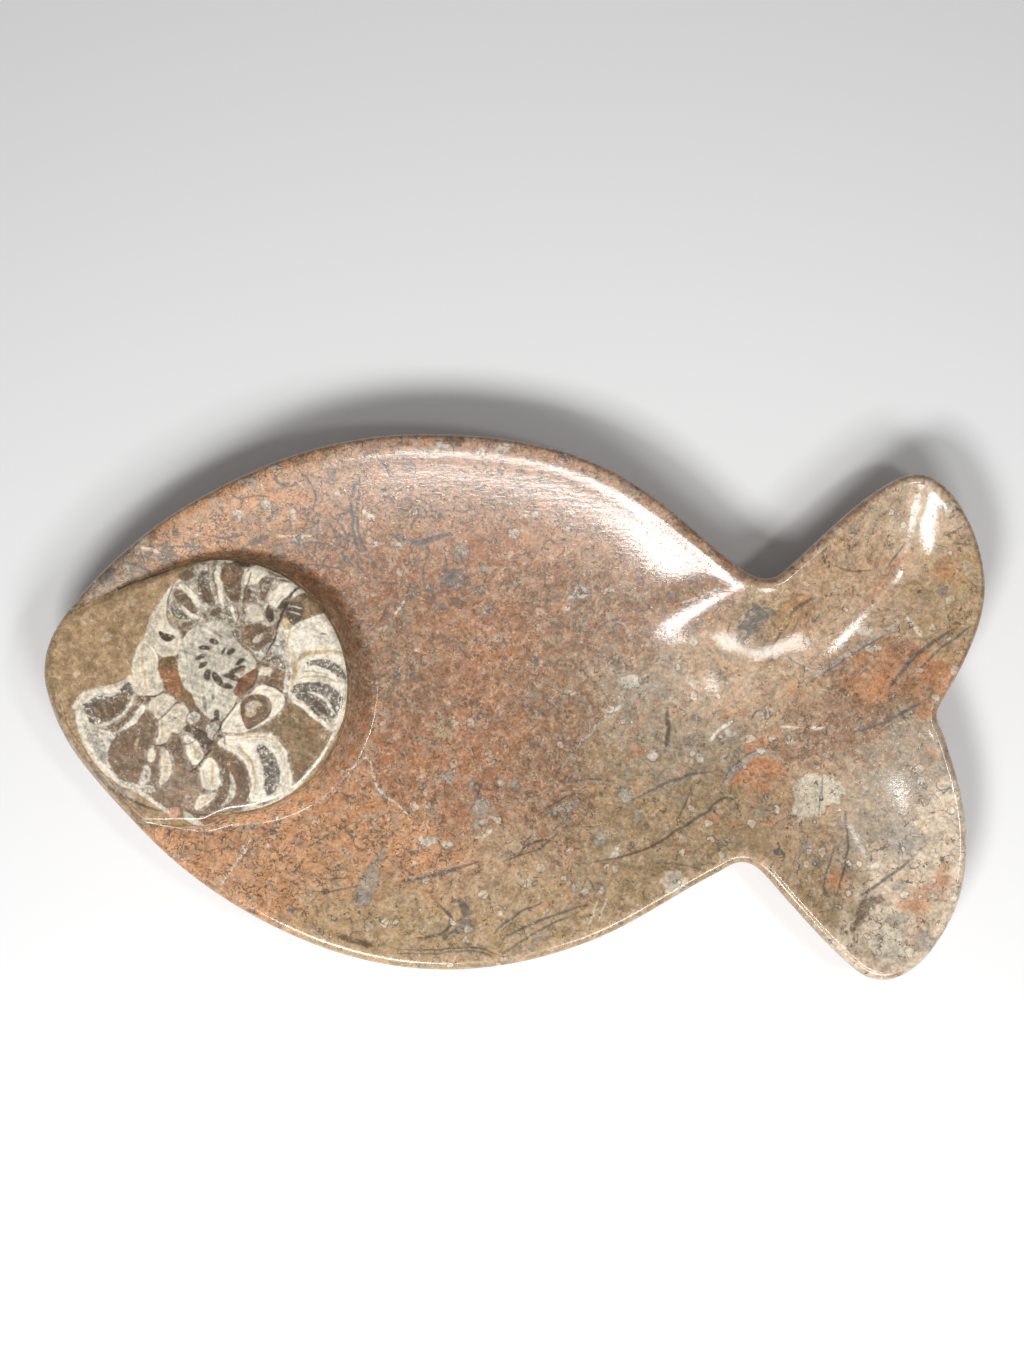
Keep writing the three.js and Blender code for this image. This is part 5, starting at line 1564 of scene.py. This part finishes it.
def paint_block(piece):
    """Paints the plain stone, the coil and its chambers, the small marks, and the bevel's layers."""
    spots = points_of(piece)[:, :2]
    every = np.arange(len(spots))
    moved = spots + CHAMBER_WAVER * (wavering(spots, CHAMBER_SEED) - spots)
    colour = np.tile(linear(BLOCK_TONES["matrix"]), (len(spots), 1))
    mix_in(colour, every, BLOCK_TONES["matrix_dark"], uneven(ripple(spots, *SAND), **SAND_SHARE))
    inside = area_depth(moved, COIL)
    mix_in(colour, every, BLOCK_TONES["bister"], cover(inside))
    mix_in(colour, every, BLOCK_TONES["calcite"], CHAMBER_SHARES["coil band"] * band(inside, **COIL_BAND))
    frosty = COIL_FROST * cover(inside)
    mottle = smoothstep(ripple(spots, *MOTTLE), *SPOTTY_STEP)
    for finish, corners in CHAMBERS:
        paint_chamber(colour, frosty, spots, moved, inside, mottle, finish, corners)
    for finish, x, y, across, up, degrees in BLOCK_ROUNDS:
        size = max(across, up)
        ids = near(spots, [(x - size, y - size), (x + size, y + size)], ROUND_REACH)
        share = cover(round_depth(moved[ids], x, y, across, up, degrees))
        mix_in(colour, ids, BLOCK_TONES[finish], CHAMBER_SHARES["mark"] * share)
        frosty[ids] *= 1 - share
    for finish, width, points in BLOCK_LINES:
        ids = near(spots, points, CHAMBER_REACH)
        share = line_cover(moved[ids], points, width)
        mix_in(colour, ids, BLOCK_TONES[finish], CHAMBER_SHARES["mark"] * share)
        frosty[ids] *= 1 - share
    inset = line_distance(spots, outline, True)
    away = np.hypot(spots[:, 0] - BEVEL_CENTRE[0], spots[:, 1] - BEVEL_CENTRE[1])
    bevel = smoothstep(away, *BEVEL_FADE)
    bevel *= 1 - smoothstep(inset, *BEVEL_INSET)
    layers = 0.5 + 0.5 * np.sin(inset * math.tau / LAYER_PITCH + LAYER_WAVER * ripple(spots, *LAYERS))
    mix_in(colour, every, BLOCK_TONES["matrix_dot"], bevel * layers * CHAMBER_SHARES["pale layer"])
    mix_in(colour, every, BLOCK_TONES["bister"], bevel * (1 - layers) * CHAMBER_SHARES["dark layer"])
    frosty *= 1 - bevel
    store(piece, "paint", colour)
    store(piece, "frosty", frosty)


# Frost: clear and milky calcite crystals, seen as a close mottle of light and dark
frost, frost_in, frost_out = new_group(
    "calcite_frost",
    [("Place", "NodeSocketVector"), ("Colour", "NodeSocketColor"), ("Share", "NodeSocketFloat")],
    [("Colour", "NodeSocketColor")],
)
CRYSTALS = (0.95, 3.0, 0.65, 0.6)
CLEAR_CRYSTALS = (0.38, 0.5, 0.75, 0.0)
MILKY_CRYSTALS = (0.53, 0.64, 0.0, 0.8)
crystals = noise(frost, frost_in.outputs["Place"], *CRYSTALS)
clear_share = product(frost, ramp(frost, crystals, *CLEAR_CRYSTALS), frost_in.outputs["Share"])
milky_share = product(frost, ramp(frost, crystals, *MILKY_CRYSTALS), frost_in.outputs["Share"])
clouded = blend(frost, clear_share, frost_in.outputs["Colour"], tone_value(BLOCK_TONES["clear"]))
clouded = blend(frost, milky_share, clouded, tone_value(BLOCK_TONES["calcite"]))
frost.links.new(clouded, frost_out.inputs["Colour"])


def block_material():
    """Polished limestone and calcite, over the block's painted chambers."""
    material, tree, place, paint = painted_stone("goniatite_limestone")
    frosted = use_group(tree, frost, Place=place, Colour=paint, Share=read_paint(tree, "frosty", "Fac"))
    polish(tree, place, frosted["Colour"], strength=1.1, specks=0.15, roughness=0.36)
    return material


block = copy_of(carved, "goniatite_stone")
carve(block, inside_seam(-HALF_FILLER - GAP, SEAT_HEIGHT), "INTERSECT")
carve(block, patch_space(GAP, SEAT_HEIGHT), "DIFFERENCE")
smooth(block)
paint_block(block)
block.data.materials.append(block_material())
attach(block, "root")
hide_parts("goniatite_block")

# The filler in the seam
# Coloured resin and stone dust, pressed into the joint between the two stones and into a wider chipped
# patch at its lower left, then ground flush with them.
FILLER_TONES = {
    "golden": (150, 118, 78),
    "dark": (86, 66, 48),
    "edge": (170, 158, 140),
    "chip": (196, 186, 168),
    "pink": (206, 160, 134),
    "red": (152, 104, 76),
}

# Chips of stone in the patch: tone, then the chip's corners
CHIPS = [
    ("pink", [(-83.2, -24.2), (-82.9, -23.9), (-80.4, -23.3), (-80, -23.5), (-79.6, -25.2), (-80.8, -26.6),
        (-82.8, -26.4)]),
    ("chip", [(-79.2, -24.8), (-78.8, -24.6), (-76.6, -25.8), (-74, -28.2), (-74.2, -28.6), (-76.8, -28.2),
        (-79, -26.8)]),
    ("red", [(-75.8, -25.6), (-72, -26), (-68.5, -26), (-68.5, -26.9), (-72, -27.2), (-75, -26.6)]),
]


# Waves that vary the filler: wavelength and seed
SEAM_WAVE = (3, 80)
SEAM_WAVER = 0.12
DARK_RUNS = (9, 81)
DARK_STEP = (-0.2, 1.0)
CHIP_REACH = 1

# How strongly each part covers the filler, and half widths of its dark lines
FILLER_SHARES = {"dark run": 0.8, "dark line": 0.8, "edge": 0.7, "chip": 0.9, "chip edge": 0.6}
DARK_LINE = 0.1
CHIP_EDGE = 0.12
PALE_EDGE = (0.1, 0.35)
STRIP_END = 0.6


def paint_filler(piece):
    """Paints the strip and its dark and pale lines, then the chips in the patch."""
    spots = points_of(piece)[:, :2]
    every = np.arange(len(spots))
    side = seam_side(spots) + SEAM_WAVER * ripple(spots, *SEAM_WAVE)
    colour = np.tile(linear(FILLER_TONES["golden"]), (len(spots), 1))
    runs = smoothstep(ripple(spots, *DARK_RUNS), *DARK_STEP)
    pale = smoothstep(side, *PALE_EDGE) * (side < STRIP_END)
    mix_in(colour, every, FILLER_TONES["dark"], FILLER_SHARES["dark run"] * runs)
    mix_in(colour, every, FILLER_TONES["dark"], FILLER_SHARES["dark line"] * band(side, DARK_LINE))
    mix_in(colour, every, FILLER_TONES["edge"], FILLER_SHARES["edge"] * pale)
    for tone, corners in CHIPS:
        ids = near(spots, corners, CHIP_REACH)
        depth = area_depth(spots[ids], corners)
        mix_in(colour, ids, FILLER_TONES[tone], FILLER_SHARES["chip"] * cover(depth))
        mix_in(colour, ids, FILLER_TONES["dark"], FILLER_SHARES["chip edge"] * band(depth, CHIP_EDGE))
    store(piece, "paint", colour)


def filler_material():
    """Polished resin and stone dust, over the filler's painted colours."""
    material, tree, place, paint = painted_stone("filler_resin")
    polish(tree, place, paint, strength=1.0, specks=0.6, roughness=0.36)
    return material


filler = copy_of(carved, "seam_resin")
strip = inside_seam(HALF_FILLER, SEAT_HEIGHT)
carve(strip, inside_seam(-HALF_FILLER, SEAT_HEIGHT - 1), "DIFFERENCE")
carve(strip, patch_space(0, SEAT_HEIGHT), "UNION")
carve(filler, strip, "INTERSECT")
smooth(filler)
paint_filler(filler)
filler.data.materials.append(filler_material())
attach(filler, "root")
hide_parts("seam_filler")
bpy.data.objects.remove(carved)

# The studio
# A plain pale table, soft lamps beyond the dish's lower side with a weak fill all round, and a camera
# straight above.
TABLE_SIZE = 6
PAPER = (0.8, 0.8, 0.8, 1)
PAPER_ROUGHNESS = 0.8
bpy.ops.mesh.primitive_plane_add(size=TABLE_SIZE)
table = bpy.context.active_object
table.name = "table"
table_finish = bpy.data.materials.new("table_paper")
table_finish.use_nodes = True
paper = table_finish.node_tree.nodes["Principled BSDF"]
paper.inputs["Base Color"].default_value = PAPER
paper.inputs["Roughness"].default_value = PAPER_ROUGHNESS
table.data.materials.append(table_finish)

# Each lamp: place, size and power
LAMPS = [
    ((-0.11, -0.26, 0.45), 0.14, 1.9),
    ((0.15, -0.28, 0.45), 0.14, 1.0),
    ((0.2, -0.05, 0.45), 0.05, 0.3),
]
for place, size, power in LAMPS:
    bpy.ops.object.light_add(type="AREA", location=place)
    lamp = bpy.context.active_object
    lamp.data.size = size
    lamp.data.energy = power
    lamp.rotation_euler = (-Vector(place)).to_track_quat("-Z", "Y").to_euler()

# The weak even light of the room
ROOM_LIGHT = 0.24
world = bpy.data.worlds.new("studio")
bpy.context.scene.world = world
world.use_nodes = True
background = world.node_tree.nodes["Background"]
background.inputs["Color"].default_value = (1, 1, 1, 1)
background.inputs["Strength"].default_value = ROOM_LIGHT
bpy.context.scene.view_settings.view_transform = "Standard"

CAMERA_PLACE = (-0.0007, 0.0059, 0.46)
LENS = 48.45
SENSOR = 36
bpy.ops.object.camera_add(location=CAMERA_PLACE, rotation=(0, 0, 0))
camera = bpy.context.active_object
camera.data.lens = LENS
camera.data.sensor_width = SENSOR
bpy.context.scene.camera = camera
